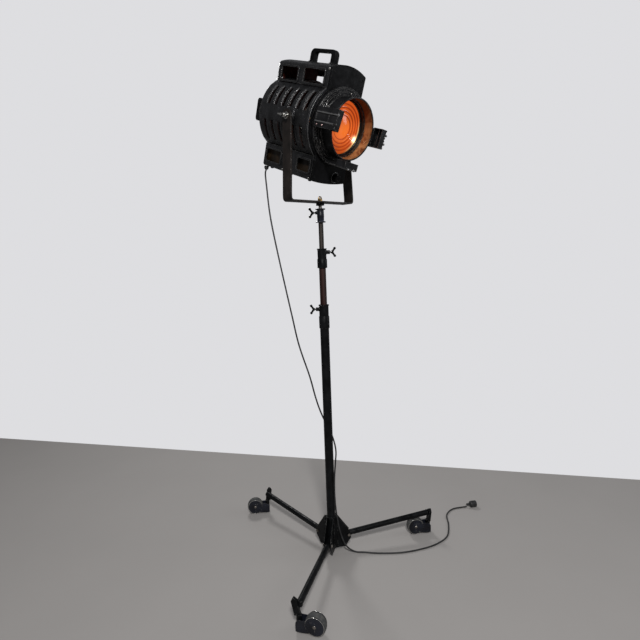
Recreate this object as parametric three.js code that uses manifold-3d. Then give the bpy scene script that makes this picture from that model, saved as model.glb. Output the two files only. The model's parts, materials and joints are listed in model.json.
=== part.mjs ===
// A stage spotlight with a stepped lens, hung in a yoke on a three-section wheeled stand.
// Millimetres, +Z up. The origin is the middle of the column's foot. Heights below are above the
// floor, and the last lines lower the whole stand so that its foot is at the origin. The lens looks
// towards -Y and the tilt pivots lie along X, so "left" is -X and "right" is +X.

import * as THREE from 'three';
import { mergeVertices } from 'three/addons/utils/BufferGeometryUtils.js';
import Module from 'manifold-3d';

const wasm = await Module();
wasm.setup();

// ---------------------------------------------------------------- driving dimensions

const GAP = 0.3; // clearance between two pieces that touch
const ROUND = { wide: 36, medium: 20, small: 14, tiny: 8 }; // facets of round pieces, by size
const BIG = 500; // longer than any cut needs to be

const PIVOT_HEIGHT = 1868; // tilt axis above the floor
const TILT = THREE.MathUtils.degToRad(19.7); // the lens points this far below the horizon
const THUMB_ANGLE = THREE.MathUtils.degToRad(135.7); // direction of the lower and socket screws

const drum = { radius: 148, wall: 3, front: -115.7, back: 188, flange: 150, flangeWidth: 9.5 };
const slots = { pitch: 44.5, count: 6, last: 144, lowerLast: 154, width: 12, low: 13, high: 41 };
const casing = { half: 90, wall: 3 };
const bonnet = { shoulder: 190, crown: 210, back: 188 };
const housing = { shoulder: 211, crown: 218, back: 196 };
const vent = { halfWidth: 70, front: -95, back: 160 };
const bonnetWindows = [[60, 157, 127, 174], [-90, 22, 129, 176]]; // y from, y to, z from, z to
const housingWindows = [[82, 176, -188, -141], [-99, -26, -186, -142]];
const front = { face: -126, back: -116, radius: 146, opening: 112 };
const rear = { thickness: 5.7 };
const boss = { radius: 22, face: 155.7 };
const stud = { radius: 5, inner: 150, outer: 191 };

const collar = { radius: 140, step: 125, depth: 12, stepDepth: 10 };
const tube = { radius: 111, bore: 107, rim: -203, seat: 98, lensBore: 103, band: -159 };
const lens = { radius: 102.6, clear: 96.5, back: -134.3, edge: 6, steps: 5, stepHeight: 5 };
const hinge = { x: 150, y: -132, knuckle: 5, pin: 2.4, half: 34, fixedHalf: 9.7, from: 10, to: 30 };
const runner = {
  width: 72, inner: 126, outer: 140, back: -138.6, middle: -206, front: -246, skin: 3,
  rod: 2.6, rodSpread: 16,
};
const RUNNER_TURNS = { right: 5, bottom: 96, left: 188.5 }; // about the lens axis, from +X

const yoke = { inner: 171, top: 156, straight: 32, thickness: 6, width: 50, drop: 311, bend: 14 };
const spigot = { radius: 8, foot: 1486.5, groove: 6.5, nut: 17, nutLow: 1538, nutHigh: 1546, stud: 6 };
const eyeNut = { radius: 10, height: 9, ring: 8, wire: 2.6 };
const socket = { radius: 14, flange: 20.5, low: 1472, high: 1528, screw: 1512 };

const lowerTube = { radius: 19, wall: 2.5, low: 20, high: 1100 };
const middleTube = { radius: 14.3, wall: 2.8, low: 395, high: 1344.5 };
const upperTube = { radius: 10, wall: 2, low: 533, high: 1483.4 };
const lowerClamp = { radius: 22, neck: 20, low: 1030, split: 1082, high: 1131, screw: 1112 };
const middleClamp = { radius: 20.5, neck: 18.5, low: 1285, split: 1336, high: 1366, screw: 1350 };

const hub = { radius: 22, low: 17, high: 168, plateInner: 13, plateOuter: 17, bolt: 76 };
const leg = { radius: 12.5, wall: 2, inner: 24, end: 478, innerZ: 66, outerZ: 100 };
const legBore = { radius: 4.4 };
const post = { width: 24, thickness: 12, low: 62, high: 130, point: 12, lean: 12, hinge: 40 };
const sleeve = { radius: 10, low: 17, high: 66, bore: 5.3, boreHigh: 53 };
const caster = { trail: 64, wheel: 40, width: 25, core: 27, cheekIn: 14.5, cheekOut: 17.5, disc: 36.5 };

const LEGS = { back: 90, left: 210, right: -30 }; // plan angle of each leg
const TRAIL_ANGLES = { back: 143, left: -63, right: 143 }; // plan angle each wheel trails to

const thumb = { shaft: 3, arm: 2.8, armLength: 20, ball: 4.4, spread: 55, clampReach: 38, socketReach: 28 };
const wing = { thickness: 4, hubLow: 10, hubHigh: 8, height: 14 };

const cableRadius = 3.5;
const plug = { x: 728, y: -268, radius: 16, length: 52, turn: -37 };
const gland = { x: -76, y: 181, low: -230.1, high: -214.7, radius: 11 };
const grip = { x: -134, half: 43, depth: 38, bar: 11, thickness: 12 };
const handle = {
  y: 27, z: 224, length: 144, height: 70, corner: 20, holeLength: 92, holeHeight: 44, half: 11,
};

const focus = { x: 36, z: -190, radius: 4, knob: 16, back: 172 };
const rail = { x: -40, radius: 4 };
const lamp = { y: -10, globe: 38, mirror: 75, socket: 24 };
const carriage = { half: 58, depth: 25, low: -201, high: -180, deck: -98, deckTop: -94, strut: 78 };

// ---------------------------------------------------------------- shape helpers

const deg = THREE.MathUtils.degToRad;

function block(x0, x1, y0, y1, z0, z1) {
  const box = new THREE.BoxGeometry(x1 - x0, y1 - y0, z1 - z0);
  return box.translate((x0 + x1) / 2, (y0 + y1) / 2, (z0 + z1) / 2);
}

/** Revolves [radius, height] pairs about Z. They run anticlockwise round the section. */
function turned(profile, segments = ROUND.medium) {
  const points = profile.map(([r, h]) => new THREE.Vector2(r, h));
  return new THREE.LatheGeometry(points, segments).rotateX(Math.PI / 2);
}

/** Revolves a closed section that doesn't touch the axis. */
function turnedRing(profile, segments = ROUND.medium) {
  return turned([...profile, profile[0]], segments);
}

function rod(radius, from, to, segments = ROUND.small) {
  return turned([[0, from], [radius, from], [radius, to], [0, to]], segments);
}

function pipe(inner, outer, from, to, segments = ROUND.medium) {
  return turnedRing([[inner, from], [outer, from], [outer, to], [inner, to]], segments);
}

const alongX = (geometry) => geometry.rotateY(Math.PI / 2);
const alongY = (geometry) => geometry.rotateX(-Math.PI / 2);

/** Extrudes an outline drawn in X (across) and Z (up) along Y. */
function slab(outline, from, to) {
  const extruded = new THREE.ExtrudeGeometry(outline, {
    depth: to - from,
    bevelEnabled: false,
    curveSegments: 5,
  });
  return extruded.rotateX(Math.PI / 2).translate(0, to, 0);
}

function polygon(points) {
  return new THREE.Shape(points.map(([x, y]) => new THREE.Vector2(x, y)));
}

function roundedBox(width, height, radius) {
  const w = width / 2 - radius;
  const h = height / 2 - radius;
  const shape = new THREE.Shape();
  shape.absarc(w, h, radius, 0, Math.PI / 2);
  shape.absarc(-w, h, radius, Math.PI / 2, Math.PI);
  shape.absarc(-w, -h, radius, Math.PI, 1.5 * Math.PI);
  shape.absarc(w, -h, radius, 1.5 * Math.PI, 2 * Math.PI);
  return shape;
}

/** A closed three.js geometry as a solid that can be joined and cut. */
function solid(geometry) {
  const bare = geometry.clone();
  bare.deleteAttribute('normal');
  bare.deleteAttribute('uv');
  const merged = mergeVertices(bare, 1e-3);
  const index = merged.index.array;
  const triangles = [];
  for (let i = 0; i < index.length; i += 3) {
    const [a, b, c] = [index[i], index[i + 1], index[i + 2]];
    if (a !== b && b !== c && c !== a) triangles.push(a, b, c);
  }
  return new wasm.Manifold(new wasm.Mesh({
    numProp: 3,
    vertProperties: Float32Array.from(merged.attributes.position.array),
    triVerts: Uint32Array.from(triangles),
  }));
}

function join(...geometries) {
  return geometries.map(solid).reduce((whole, piece) => whole.add(piece));
}

function cut(body, ...geometries) {
  return geometries.map(solid).reduce((whole, piece) => whole.subtract(piece), body);
}

function shaped(body) {
  const mesh = body.getMesh();
  const geometry = new THREE.BufferGeometry();
  geometry.setAttribute('position', new THREE.BufferAttribute(mesh.vertProperties, 3));
  geometry.setIndex(new THREE.BufferAttribute(mesh.triVerts, 1));
  return geometry;
}

function cable(points, radius, steps) {
  const path = new THREE.CatmullRomCurve3(points.map((p) => new THREE.Vector3(...p)), false,
    'centripetal');
  const section = new THREE.Shape().absarc(0, 0, radius, 0, 2 * Math.PI);
  return new THREE.ExtrudeGeometry(section, { steps, extrudePath: path, curveSegments: 3 });
}

// ---------------------------------------------------------------- materials and placing

const finishes = {
  casting: { color: 0x17181a, roughness: 0.5, metalness: 0.3 },
  flatBar: { color: 0x231d1a, roughness: 0.55, metalness: 0.4 },
  standPaint: { color: 0x131416, roughness: 0.5, metalness: 0.3 },
  wornSteel: { color: 0x6d6862, roughness: 0.4, metalness: 0.9 },
  brownTube: { color: 0x33201d, roughness: 0.45, metalness: 0.5 },
  brightSteel: { color: 0xc8c8c4, roughness: 0.25, metalness: 1 },
  brass: { color: 0x8c6a35, roughness: 0.4, metalness: 1 },
  rubber: { color: 0x5d6167, roughness: 0.8, metalness: 0 },
  flex: { color: 0x0e0e0f, roughness: 0.6, metalness: 0 },
  glass: { color: 0xff7a2a, roughness: 0.1, metalness: 0 },
  bulb: { color: 0xffe0b0, roughness: 0.05, metalness: 0 },
  mirror: { color: 0xd8d4cc, roughness: 0.1, metalness: 1 },
  ceramic: { color: 0xcfc8b8, roughness: 0.6, metalness: 0 },
};

function part(name, geometry, finish, place = {}) {
  const mesh = new THREE.Mesh(geometry, new THREE.MeshStandardMaterial(finishes[finish]));
  mesh.name = name;
  mesh.position.set(...(place.at ?? [0, 0, 0]));
  mesh.rotation.z = place.turn ?? 0;
  return mesh;
}

function group(...children) {
  const holder = new THREE.Group();
  holder.add(...children);
  return holder;
}

// ---------------------------------------------------------------- lamp head: casings

/** Half-box outline from the drum's axis out to a shallow arched crown, inset by `skin`. */
function casingOutline(shoulder, crown, skin) {
  const half = casing.half - skin;
  const rise = crown - shoulder;
  const radius = (casing.half ** 2 + rise ** 2) / (2 * rise);
  const angle = Math.asin(half / radius);
  const outline = new THREE.Shape();
  outline.moveTo(-half, 0);
  outline.lineTo(half, 0);
  outline.absarc(0, crown - radius, radius - skin, Math.PI / 2 - angle, Math.PI / 2 + angle);
  return outline;
}

function windowCutters(windows) {
  return windows.map(([y0, y1, z0, z1]) => block(-BIG, BIG, y0, y1, z0, z1));
}

function drumSpace() {
  return alongY(turned([
    [0, -BIG], [drum.flange + GAP, -BIG], [drum.flange + GAP, drum.front + drum.flangeWidth + GAP],
    [drum.radius + GAP, drum.front + drum.flangeWidth + GAP], [drum.radius + GAP, BIG], [0, BIG],
  ], ROUND.wide));
}

/** A casing open towards the drum and at the front, with its own back wall. */
function casingShell(shape, windows, flip) {
  const box = (skin, from, to) => {
    const geometry = slab(casingOutline(shape.shoulder, shape.crown, skin), from, to);
    return flip ? geometry.rotateY(Math.PI) : geometry;
  };
  const outer = solid(box(0, drum.front, shape.back));
  const inner = box(casing.wall, drum.front - 1, shape.back - casing.wall);
  return cut(outer, inner, drumSpace(), ...windowCutters(windows));
}

function slotCutters() {
  const middle = deg((slots.low + slots.high) / 2);
  const halfLength = drum.radius * Math.sin(deg((slots.high - slots.low) / 2));
  const cutters = [];
  for (const side of [middle, -middle, Math.PI - middle, Math.PI + middle]) {
    for (let i = 0; i < slots.count; i += 1) {
      const y = (Math.sin(side) > 0 ? slots.last : slots.lowerLast) - i * slots.pitch;
      const w = slots.width / 2;
      const cutter = block(drum.radius - 25, drum.radius + 20, y - w, y + w, -halfLength, halfLength);
      cutters.push(cutter.rotateY(-side));
    }
  }
  return cutters;
}

function drumShell() {
  const flangeEnd = drum.front + drum.flangeWidth;
  const inner = drum.radius - drum.wall;
  const skin = alongY(turnedRing([
    [inner, drum.front], [drum.flange, drum.front], [drum.flange, flangeEnd],
    [drum.radius, flangeEnd], [drum.radius, drum.back], [inner, drum.back],
  ], ROUND.wide));
  const bosses = [-1, 1].map((side) => cut(
    solid(alongX(rod(boss.radius, Math.min(side * inner, side * boss.face),
      Math.max(side * inner, side * boss.face), ROUND.medium))),
    alongY(rod(inner, -BIG, BIG, ROUND.wide)),
  ));
  const body = bosses.reduce((whole, piece) => whole.add(piece), solid(skin));
  const airways = [
    block(-vent.halfWidth, vent.halfWidth, vent.front, vent.back, 100, BIG),
    block(-vent.halfWidth, vent.halfWidth, vent.front, vent.back, -BIG, -100),
  ];
  const studHole = alongX(rod(stud.radius + GAP, -BIG, BIG));
  return shaped(cut(body, ...slotCutters(), ...airways, studHole));
}

function bonnetShell() {
  return shaped(casingShell(bonnet, bonnetWindows, false));
}

function bottomHousing() {
  return shaped(casingShell(housing, housingWindows, true));
}

function frontPlate() {
  const [y0, y1] = [front.face, front.back];
  const top = slab(casingOutline(bonnet.shoulder, bonnet.crown, 0), y0, y1);
  const low = slab(casingOutline(housing.shoulder, housing.crown, 0), y0, y1).rotateY(Math.PI);
  const disc = alongY(rod(front.radius, y0, y1, ROUND.wide));
  const half = hinge.fixedHalf;
  const web = block(collar.radius + 1, hinge.x, hinge.y + 2, y1, -half, half);
  const knuckle = rod(hinge.knuckle, -half, half, ROUND.small).translate(hinge.x, hinge.y, 0);
  const opening = alongY(rod(front.opening, -BIG, BIG, ROUND.wide));
  const spindle = alongY(rod(focus.radius + 0.6, -BIG, BIG)).translate(focus.x, 0, focus.z);
  const pinHole = rod(hinge.pin + GAP, -BIG, BIG, ROUND.small).translate(hinge.x, hinge.y, 0);
  return shaped(cut(join(top, low, disc, web, knuckle), opening, spindle, pinHole));
}

function rearPlate() {
  const y = drum.back + GAP;
  return alongY(turned([
    [0, y], [drum.radius - 1, y], [drum.radius - 1, y + 3], [118, y + 3],
    [112, y + rear.thickness], [0, y + rear.thickness],
  ], ROUND.wide));
}

function carryHandle() {
  const outer = slab(roundedBox(handle.length, handle.height, handle.corner), -handle.half, handle.half);
  const inner = slab(roundedBox(handle.holeLength, handle.holeHeight, 7), -BIG, BIG);
  const insideBonnet = block(-BIG, BIG, -BIG, BIG, -BIG, bonnet.crown + 1 - handle.z);
  const loop = cut(solid(outer), inner, insideBonnet);
  return shaped(loop).rotateZ(Math.PI / 2).translate(0, handle.y, handle.z);
}

function rearGrip() {
  const { x, half, depth, bar, thickness } = grip;
  const whole = block(-thickness / 2, thickness / 2, 0, depth, -half, half);
  const fingers = block(-thickness, thickness, -1, bar, bar - half, half - bar);
  return shaped(cut(solid(whole), fingers)).translate(x, drum.back + 3 + 2 * GAP, 0);
}

function cableGland() {
  const { x, y, low, high, radius } = gland;
  const profile = [[0, low], [radius - 5, low], [radius - 2, low + 4], [radius - 2, low + 11],
    [radius, low + 12], [radius, high], [0, high]];
  return turned(profile, ROUND.small).translate(x, y, 0);
}

// ---------------------------------------------------------------- lamp head: lens door

function lensTube() {
  const back = front.face - GAP;
  const step = back - collar.depth;
  const face = step - collar.stepDepth;
  const skin = alongY(turnedRing([
    [tube.seat, back], [tube.seat, lens.back + GAP], [tube.lensBore, lens.back + GAP],
    [tube.lensBore, tube.band], [tube.bore, tube.band], [tube.bore, tube.rim],
    [tube.radius, tube.rim], [tube.radius, face], [collar.step, face], [collar.step, step],
    [collar.radius, step], [collar.radius, back],
  ], ROUND.wide));
  const knuckles = [-1, 1].flatMap((side) => {
    const [low, high] = side < 0 ? [-hinge.to, -hinge.from] : [hinge.from, hinge.to];
    return [
      rod(hinge.knuckle, low, high, ROUND.small).translate(hinge.x, hinge.y, 0),
      block(collar.radius - 8, hinge.x, hinge.y - hinge.knuckle, hinge.y + 4.7, low, high),
    ];
  });
  const pinHole = rod(hinge.pin + GAP, -BIG, BIG, ROUND.small).translate(hinge.x, hinge.y, 0);
  return shaped(cut(join(skin, ...knuckles), pinHole));
}

/** Each step of the lens rises towards the centre, then drops back by the same height. */
function fresnelLens() {
  const ringWidth = lens.clear / (lens.steps + 0.75);
  const low = lens.back - lens.edge;
  const profile = [[0, low - lens.stepHeight]];
  for (let i = 0; i < lens.steps; i += 1) {
    const r = ringWidth * (i + 0.75);
    profile.push([r, low - 0.8], [r + 0.8, low - lens.stepHeight + 0.5]);
  }
  profile.push([lens.clear, low], [lens.radius, low], [lens.radius, lens.back], [0, lens.back]);
  return alongY(turned(profile, ROUND.medium));
}

function lensRing() {
  const y = lens.back - lens.edge - GAP;
  const outer = tube.lensBore - GAP;
  return alongY(pipe(lens.clear, outer, y - 4, y, ROUND.wide));
}

/** A channel for colour frames, its open side towards the lens, with two through rods. */
function frameRunner() {
  const half = runner.width / 2;
  const { inner, outer, back, middle, skin } = runner;
  const web = block(outer - skin, outer, runner.front, back, -half, half);
  const lips = [back - skin, middle, runner.front].map((y) => (
    block(inner, outer - 1, y, y + skin, -half, half)
  ));
  const rods = [-runner.rodSpread, runner.rodSpread].map((z) => (
    alongY(rod(runner.rod, runner.front - 6, back, ROUND.tiny)).translate(outer, 0, z)
  ));
  return shaped(join(web, ...lips, ...rods));
}

// ---------------------------------------------------------------- lamp head: inside

function carriageRail() {
  return alongY(rod(rail.radius, drum.front + 1, housing.back - casing.wall - GAP, ROUND.tiny))
    .translate(rail.x, 0, focus.z);
}

function focusScrew() {
  const screw = alongY(rod(focus.radius, front.face - 8, focus.back, ROUND.tiny));
  return screw.translate(focus.x, 0, focus.z);
}

function focusKnob() {
  const y = front.face - 1;
  const body = solid(alongY(turned([
    [0, y - 18], [focus.knob - 2, y - 18], [focus.knob, y - 16], [focus.knob, y - 4],
    [10, y], [0, y],
  ], ROUND.small)));
  const grips = [];
  for (let i = 0; i < 6; i += 1) {
    const notch = alongY(rod(3, y - 19, y - 3, 8)).translate(focus.knob + 1, 0, 0);
    grips.push(notch.rotateY((i * Math.PI) / 3));
  }
  const hole = alongY(rod(focus.radius + GAP, y - 8, y + 1, ROUND.tiny));
  return shaped(cut(body, ...grips, hole)).translate(focus.x, 0, focus.z);
}

function lampCarriage() {
  const { half, depth, low, high, deck: deckLow, deckTop, strut: strutBack } = carriage;
  const sled = block(-half, half, -depth, depth, low, high);
  const web = block(-25, 25, -3, 3, high - 1, deckLow + 1);
  const deck = block(-35, 35, -30, strutBack + 6, deckLow, deckTop);
  const strut = block(-8, 8, strutBack, strutBack + 4, deckTop - 1, 20);
  const bores = [
    alongY(rod(focus.radius + 0.4, -BIG, BIG, ROUND.tiny)).translate(focus.x, 0, focus.z),
    alongY(rod(rail.radius + 0.4, -BIG, BIG, ROUND.tiny)).translate(rail.x, 0, focus.z),
  ];
  return shaped(cut(join(sled, web, deck, strut), ...bores));
}

function lampHolder() {
  const { socket: outer } = lamp;
  const foot = carriage.deckTop + GAP;
  return turned([
    [0, foot], [outer, foot], [outer, -84], [outer - 5, -80], [outer - 5, -62], [15.6, -62],
    [15.6, -76], [0, -76],
  ], ROUND.medium);
}

function lampBulb() {
  const profile = [[0, -75.5], [15, -75.5], [15, -52]];
  for (let i = 0; i <= 6; i += 1) {
    const angle = deg(-62 + (i * 152) / 6);
    profile.push([i === 6 ? 0 : lamp.globe * Math.cos(angle), lamp.globe * Math.sin(angle)]);
  }
  return turned(profile, 20);
}

function reflector() {
  const inner = [];
  const outer = [];
  for (let i = 0; i <= 4; i += 1) {
    const angle = deg(i * 11.25);
    inner.push([lamp.mirror * Math.sin(angle), lamp.mirror * Math.cos(angle)]);
    outer.push([(lamp.mirror + 2) * Math.sin(angle), (lamp.mirror + 2) * Math.cos(angle)]);
  }
  return alongY(turned([...inner, ...outer.reverse()], ROUND.medium));
}

// ---------------------------------------------------------------- yoke and its fasteners

/** One bar bent into a U. Its arms lean in from the base, and their ends lie flat on the bosses. */
function yokeBar() {
  const { inner, top, straight, thickness, drop, bend, width } = yoke;
  const outline = new THREE.Shape();
  const outer = inner + thickness;
  const topOuter = top + thickness;
  const bendTop = -drop + bend - thickness;
  outline.moveTo(topOuter, width / 2);
  outline.lineTo(top, width / 2);
  outline.lineTo(top, -straight);
  outline.lineTo(inner, bendTop);
  outline.absarc(outer - bend, bendTop, bend - thickness, 0, -Math.PI / 2, true);
  outline.lineTo(bend - outer, -drop);
  outline.absarc(bend - outer, bendTop, bend - thickness, -Math.PI / 2, -Math.PI, true);
  outline.lineTo(-top, -straight);
  outline.lineTo(-top, width / 2);
  outline.lineTo(-topOuter, width / 2);
  outline.lineTo(-topOuter, -straight);
  outline.lineTo(-outer, bendTop);
  outline.absarc(bend - outer, bendTop, bend, Math.PI, 1.5 * Math.PI);
  outline.lineTo(outer - bend, -drop - thickness);
  outline.absarc(outer - bend, bendTop, bend, 1.5 * Math.PI, 2 * Math.PI);
  outline.lineTo(topOuter, -straight);
  const aboveAxis = solid(block(-BIG, BIG, -width, width, 0, width));
  const corners = cut(aboveAxis, alongX(rod(width / 2, -2 * BIG, 2 * BIG, ROUND.medium)));
  const pivots = alongX(rod(stud.radius + 0.4, -BIG, BIG));
  const middle = rod(spigot.stud + 0.4, -BIG, -100);
  const bar = solid(slab(outline, -width / 2, width / 2)).subtract(corners);
  return shaped(cut(bar, pivots, middle)).translate(0, 0, PIVOT_HEIGHT);
}

function spigotBody() {
  const { radius, foot, groove, nut, nutLow, nutHigh, stud: neck } = spigot;
  const bar = PIVOT_HEIGHT - yoke.drop - yoke.thickness;
  return turned([
    [0, foot], [radius, foot], [radius, nutLow - 7], [groove, nutLow - 6], [groove, nutLow - 2],
    [nut, nutLow], [nut, nutHigh], [nut - 6, nutHigh + 1], [nut - 6, bar - GAP],
    [neck, bar - GAP], [neck, bar + 2 * yoke.thickness], [0, bar + 2 * yoke.thickness],
  ], ROUND.medium);
}

function yokeEyeNut() {
  const base = PIVOT_HEIGHT - yoke.drop + GAP;
  const { radius, height, ring: bend, wire } = eyeNut;
  const ring = new THREE.TorusGeometry(bend, wire, 6, 14).rotateX(Math.PI / 2)
    .translate(0, 0, base + height + 2);
  const thread = rod(spigot.stud + GAP, base - 1, base + 7);
  return shaped(cut(join(rod(radius, base, base + height, 6), ring), thread));
}

function pivotStud(side) {
  const ends = [side * stud.inner, side * stud.outer].sort((a, b) => a - b);
  return alongX(rod(stud.radius, ...ends, ROUND.small));
}

/** Hub and two wings, threaded on along +X; the wings lie in the plane of X and Y. */
function wingNut(side) {
  const base = yoke.top + yoke.thickness + GAP;
  const top = base + wing.height;
  const hubBody = alongX(turned([[0, base], [wing.hubLow, base], [wing.hubHigh, top], [0, top]],
    ROUND.small));
  const outline = polygon([[5, base + 2], [14, base + 8], [26, base + 18], [25, base + 24],
    [18, base + 22], [5, top]]);
  const wings = [0, Math.PI].map((turn) => (
    alongX(new THREE.ExtrudeGeometry(outline, { depth: wing.thickness, bevelEnabled: false })
      .translate(0, 0, -wing.thickness / 2).rotateX(Math.PI / 2).rotateZ(turn))
  ));
  const nut = cut(join(hubBody, ...wings), alongX(rod(stud.radius + GAP, 0, BIG, ROUND.small)));
  return shaped(nut).rotateZ(side < 0 ? Math.PI : 0);
}

// ---------------------------------------------------------------- stand column

/** Turned clamp with a side boss for its screw; the bore steps down to the inner tube. */
function clampBody(clamp, outerTube, innerTube, angle) {
  const shoulder = outerTube.high + GAP;
  const wide = outerTube.radius + GAP;
  const narrow = innerTube.radius + GAP;
  const body = turnedRing([
    [wide, clamp.low], [clamp.radius, clamp.low], [clamp.radius, clamp.split],
    [clamp.neck, clamp.split + 3], [clamp.neck, clamp.high - 5], [clamp.radius, clamp.high - 4],
    [clamp.radius, clamp.high], [narrow, clamp.high], [narrow, shoulder], [wide, shoulder],
  ], ROUND.medium);
  const nose = alongX(rod(8, clamp.neck - 4, 34, 14));
  const boreStart = clamp.screw < shoulder ? wide : narrow;
  const hole = alongX(rod(thumb.shaft + GAP, boreStart - 2, BIG, ROUND.tiny));
  const placed = (geometry) => geometry.rotateZ(angle).translate(0, 0, clamp.screw);
  const narrowBore = rod(narrow, clamp.low - 1, clamp.high + 1, ROUND.medium);
  const wideBore = rod(wide, clamp.low - 1, shoulder, ROUND.medium);
  return shaped(cut(join(body, placed(nose)), placed(hole), narrowBore, wideBore));
}

/** Screw lying along +X whose head is two diverging arms with ball ends. */
function wingScrew(from, reach) {
  const shaft = alongX(rod(thumb.shaft, from, reach + 4, ROUND.tiny));
  const hubBody = alongX(turned([[0, reach], [5, reach], [6.5, reach + 4], [4, reach + 10],
    [0, reach + 10]], ROUND.tiny));
  const arms = [-1, 1].flatMap((side) => {
    const angle = side * deg(thumb.spread);
    const arm = alongX(rod(thumb.arm, 0, thumb.armLength, 6));
    const ball = new THREE.SphereGeometry(thumb.ball, 8, 5).translate(thumb.armLength, 0, 0);
    return [arm, ball].map((geometry) => geometry.rotateY(-angle).translate(reach + 5, 0, 0));
  });
  return shaped(join(shaft, hubBody, ...arms));
}

function topSocket() {
  const { radius, flange, low, high, screw } = socket;
  const body = turned([
    [0, upperTube.high + GAP], [upperTube.radius + GAP, upperTube.high + GAP],
    [upperTube.radius + GAP, low], [flange, low], [flange, low + 4], [radius, low + 6],
    [radius, high - 6], [flange, high - 4], [flange, high], [spigot.radius + GAP, high],
    [spigot.radius + GAP, spigot.foot - GAP], [0, spigot.foot - GAP],
  ], ROUND.medium);
  const place = (geometry) => geometry.rotateZ(THUMB_ANGLE).translate(0, 0, screw);
  const nose = place(alongX(rod(6.5, radius - 3, 22, ROUND.small)));
  const hole = place(alongX(rod(thumb.shaft + GAP, 6, BIG, ROUND.tiny)));
  return shaped(cut(join(body, nose), hole));
}

function columnPieces() {
  const opposite = THUMB_ANGLE + Math.PI;
  const section = (t) => pipe(t.radius - t.wall, t.radius, t.low, t.high, ROUND.medium);
  const screwAt = (name, z, turn, from, reach) => (
    part(name, wingScrew(from, reach), 'standPaint', { at: [0, 0, z], turn })
  );
  return [
    part('lower_tube', section(lowerTube), 'standPaint'),
    part('lower_clamp', clampBody(lowerClamp, lowerTube, middleTube, THUMB_ANGLE), 'standPaint'),
    part('middle_tube', section(middleTube), 'brownTube'),
    part('middle_clamp', clampBody(middleClamp, middleTube, upperTube, opposite), 'standPaint'),
    part('upper_tube', section(upperTube), 'wornSteel'),
    part('top_socket', topSocket(), 'standPaint'),
    screwAt('lower_clamp_screw', lowerClamp.screw, THUMB_ANGLE, middleTube.radius + 0.6,
      thumb.clampReach),
    screwAt('middle_clamp_screw', middleClamp.screw, opposite, upperTube.radius + 0.6,
      thumb.clampReach),
    screwAt('socket_screw', socket.screw, THUMB_ANGLE, spigot.radius + 0.6, thumb.socketReach),
  ];
}

// ---------------------------------------------------------------- base, legs and casters

/** Plates are drawn in the leg's own frame: X outward, Y across, Z up. */
function baseHub() {
  const body = solid(rod(hub.radius, hub.low, hub.high, ROUND.medium));
  const gusset = polygon([[12, hub.low], [60, hub.low], [72, 36], [85, 52], [85, 84], [76, 96],
    [26, hub.high], [12, hub.high]]);
  const bolt = legBoltHole();
  const plates = Object.values(LEGS).map((angle) => {
    const pair = join(slab(gusset, hub.plateInner, hub.plateOuter),
      slab(gusset, -hub.plateOuter, -hub.plateInner));
    return cut(pair, bolt).rotate([0, 0, angle]);
  });
  const bare = plates.reduce((whole, piece) => whole.add(piece), body);
  return shaped(cut(bare, rod(lowerTube.radius + GAP, lowerTube.low - GAP, BIG, ROUND.medium)));
}

function legBoltHole() {
  const hole = rod(legBore.radius, -BIG, BIG, ROUND.tiny).rotateX(Math.PI / 2);
  return hole.translate(hub.bolt, 0, legHeight(hub.bolt));
}

function legHeight(radius) {
  const along = (radius - leg.inner) / (leg.end - leg.inner);
  return leg.innerZ + along * (leg.outerZ - leg.innerZ);
}

/** Tube, leaning pointed post and caster sleeve, welded up as one piece. */
function legWeldment() {
  const slope = Math.atan2(leg.outerZ - leg.innerZ, leg.end - leg.inner);
  const length = (leg.end - leg.inner) / Math.cos(slope);
  const lay = (geometry) => alongX(geometry).rotateY(-slope).translate(leg.inner, 0, leg.innerZ);
  const bar = lay(rod(leg.radius, 0, length, ROUND.small));
  const bore = lay(rod(leg.radius - leg.wall, -1, length - 8, ROUND.small));
  const half = post.width / 2;
  const [foot, shoulder, tip] = [post.low, post.high - post.point, post.high]
    .map((z) => z - post.hinge);
  const outline = polygon([[-half, foot], [half, foot], [half, shoulder], [0, tip], [-half, shoulder]]);
  const upright = slab(outline, -post.thickness / 2, post.thickness / 2)
    .rotateZ(Math.PI / 2).rotateX(deg(post.lean)).translate(leg.end, 0, post.hinge);
  const stem = rod(sleeve.radius, sleeve.low, sleeve.high, ROUND.medium).translate(leg.end, 0, 0);
  const stemBore = rod(sleeve.bore, sleeve.low - 1, sleeve.boreHigh, ROUND.small)
    .translate(leg.end, 0, 0);
  return shaped(cut(join(bar, upright, stem), bore, stemBore, legBoltHole()));
}

function legBolt() {
  const reach = hub.plateOuter + GAP;
  return turned([
    [0, -reach - 4], [7, -reach - 4], [7, -reach], [4, -reach], [4, reach], [7, reach],
    [7, reach + 5], [0, reach + 5],
  ], 6).rotateX(Math.PI / 2).translate(hub.bolt, 0, legHeight(hub.bolt));
}

/** Drawn with the swivel axis on Z and the wheel trailing towards +X. */
function casterFork() {
  const { trail, wheel, cheekIn, cheekOut, disc } = caster;
  const arm = polygon([[-11, 6], [trail, 6], [trail, 54], [2, 54], [-11, 40]]);
  const cheeks = [[cheekIn, cheekOut], [-cheekOut, -cheekIn]].flatMap(([y0, y1]) => [
    slab(arm, y0, y1),
    alongY(rod(disc, y0, y1, ROUND.medium)).translate(trail, 0, wheel),
  ]);
  const bridge = block(-11, 13, -cheekIn - 1, cheekIn + 1, 6, 16.5);
  const pin = rod(5, 10, 50, ROUND.small);
  const axleHole = alongY(rod(4 + GAP, -BIG, BIG, ROUND.small)).translate(trail, 0, wheel);
  return shaped(cut(join(...cheeks, bridge, pin), axleHole));
}

function casterAxle() {
  const reach = caster.cheekOut + GAP;
  return alongY(turned([
    [0, -reach - 4], [7, -reach - 3], [7, -reach], [4, -reach], [4, reach], [7, reach],
    [7, reach + 3], [0, reach + 4],
  ], ROUND.small)).translate(caster.trail, 0, caster.wheel);
}

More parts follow.
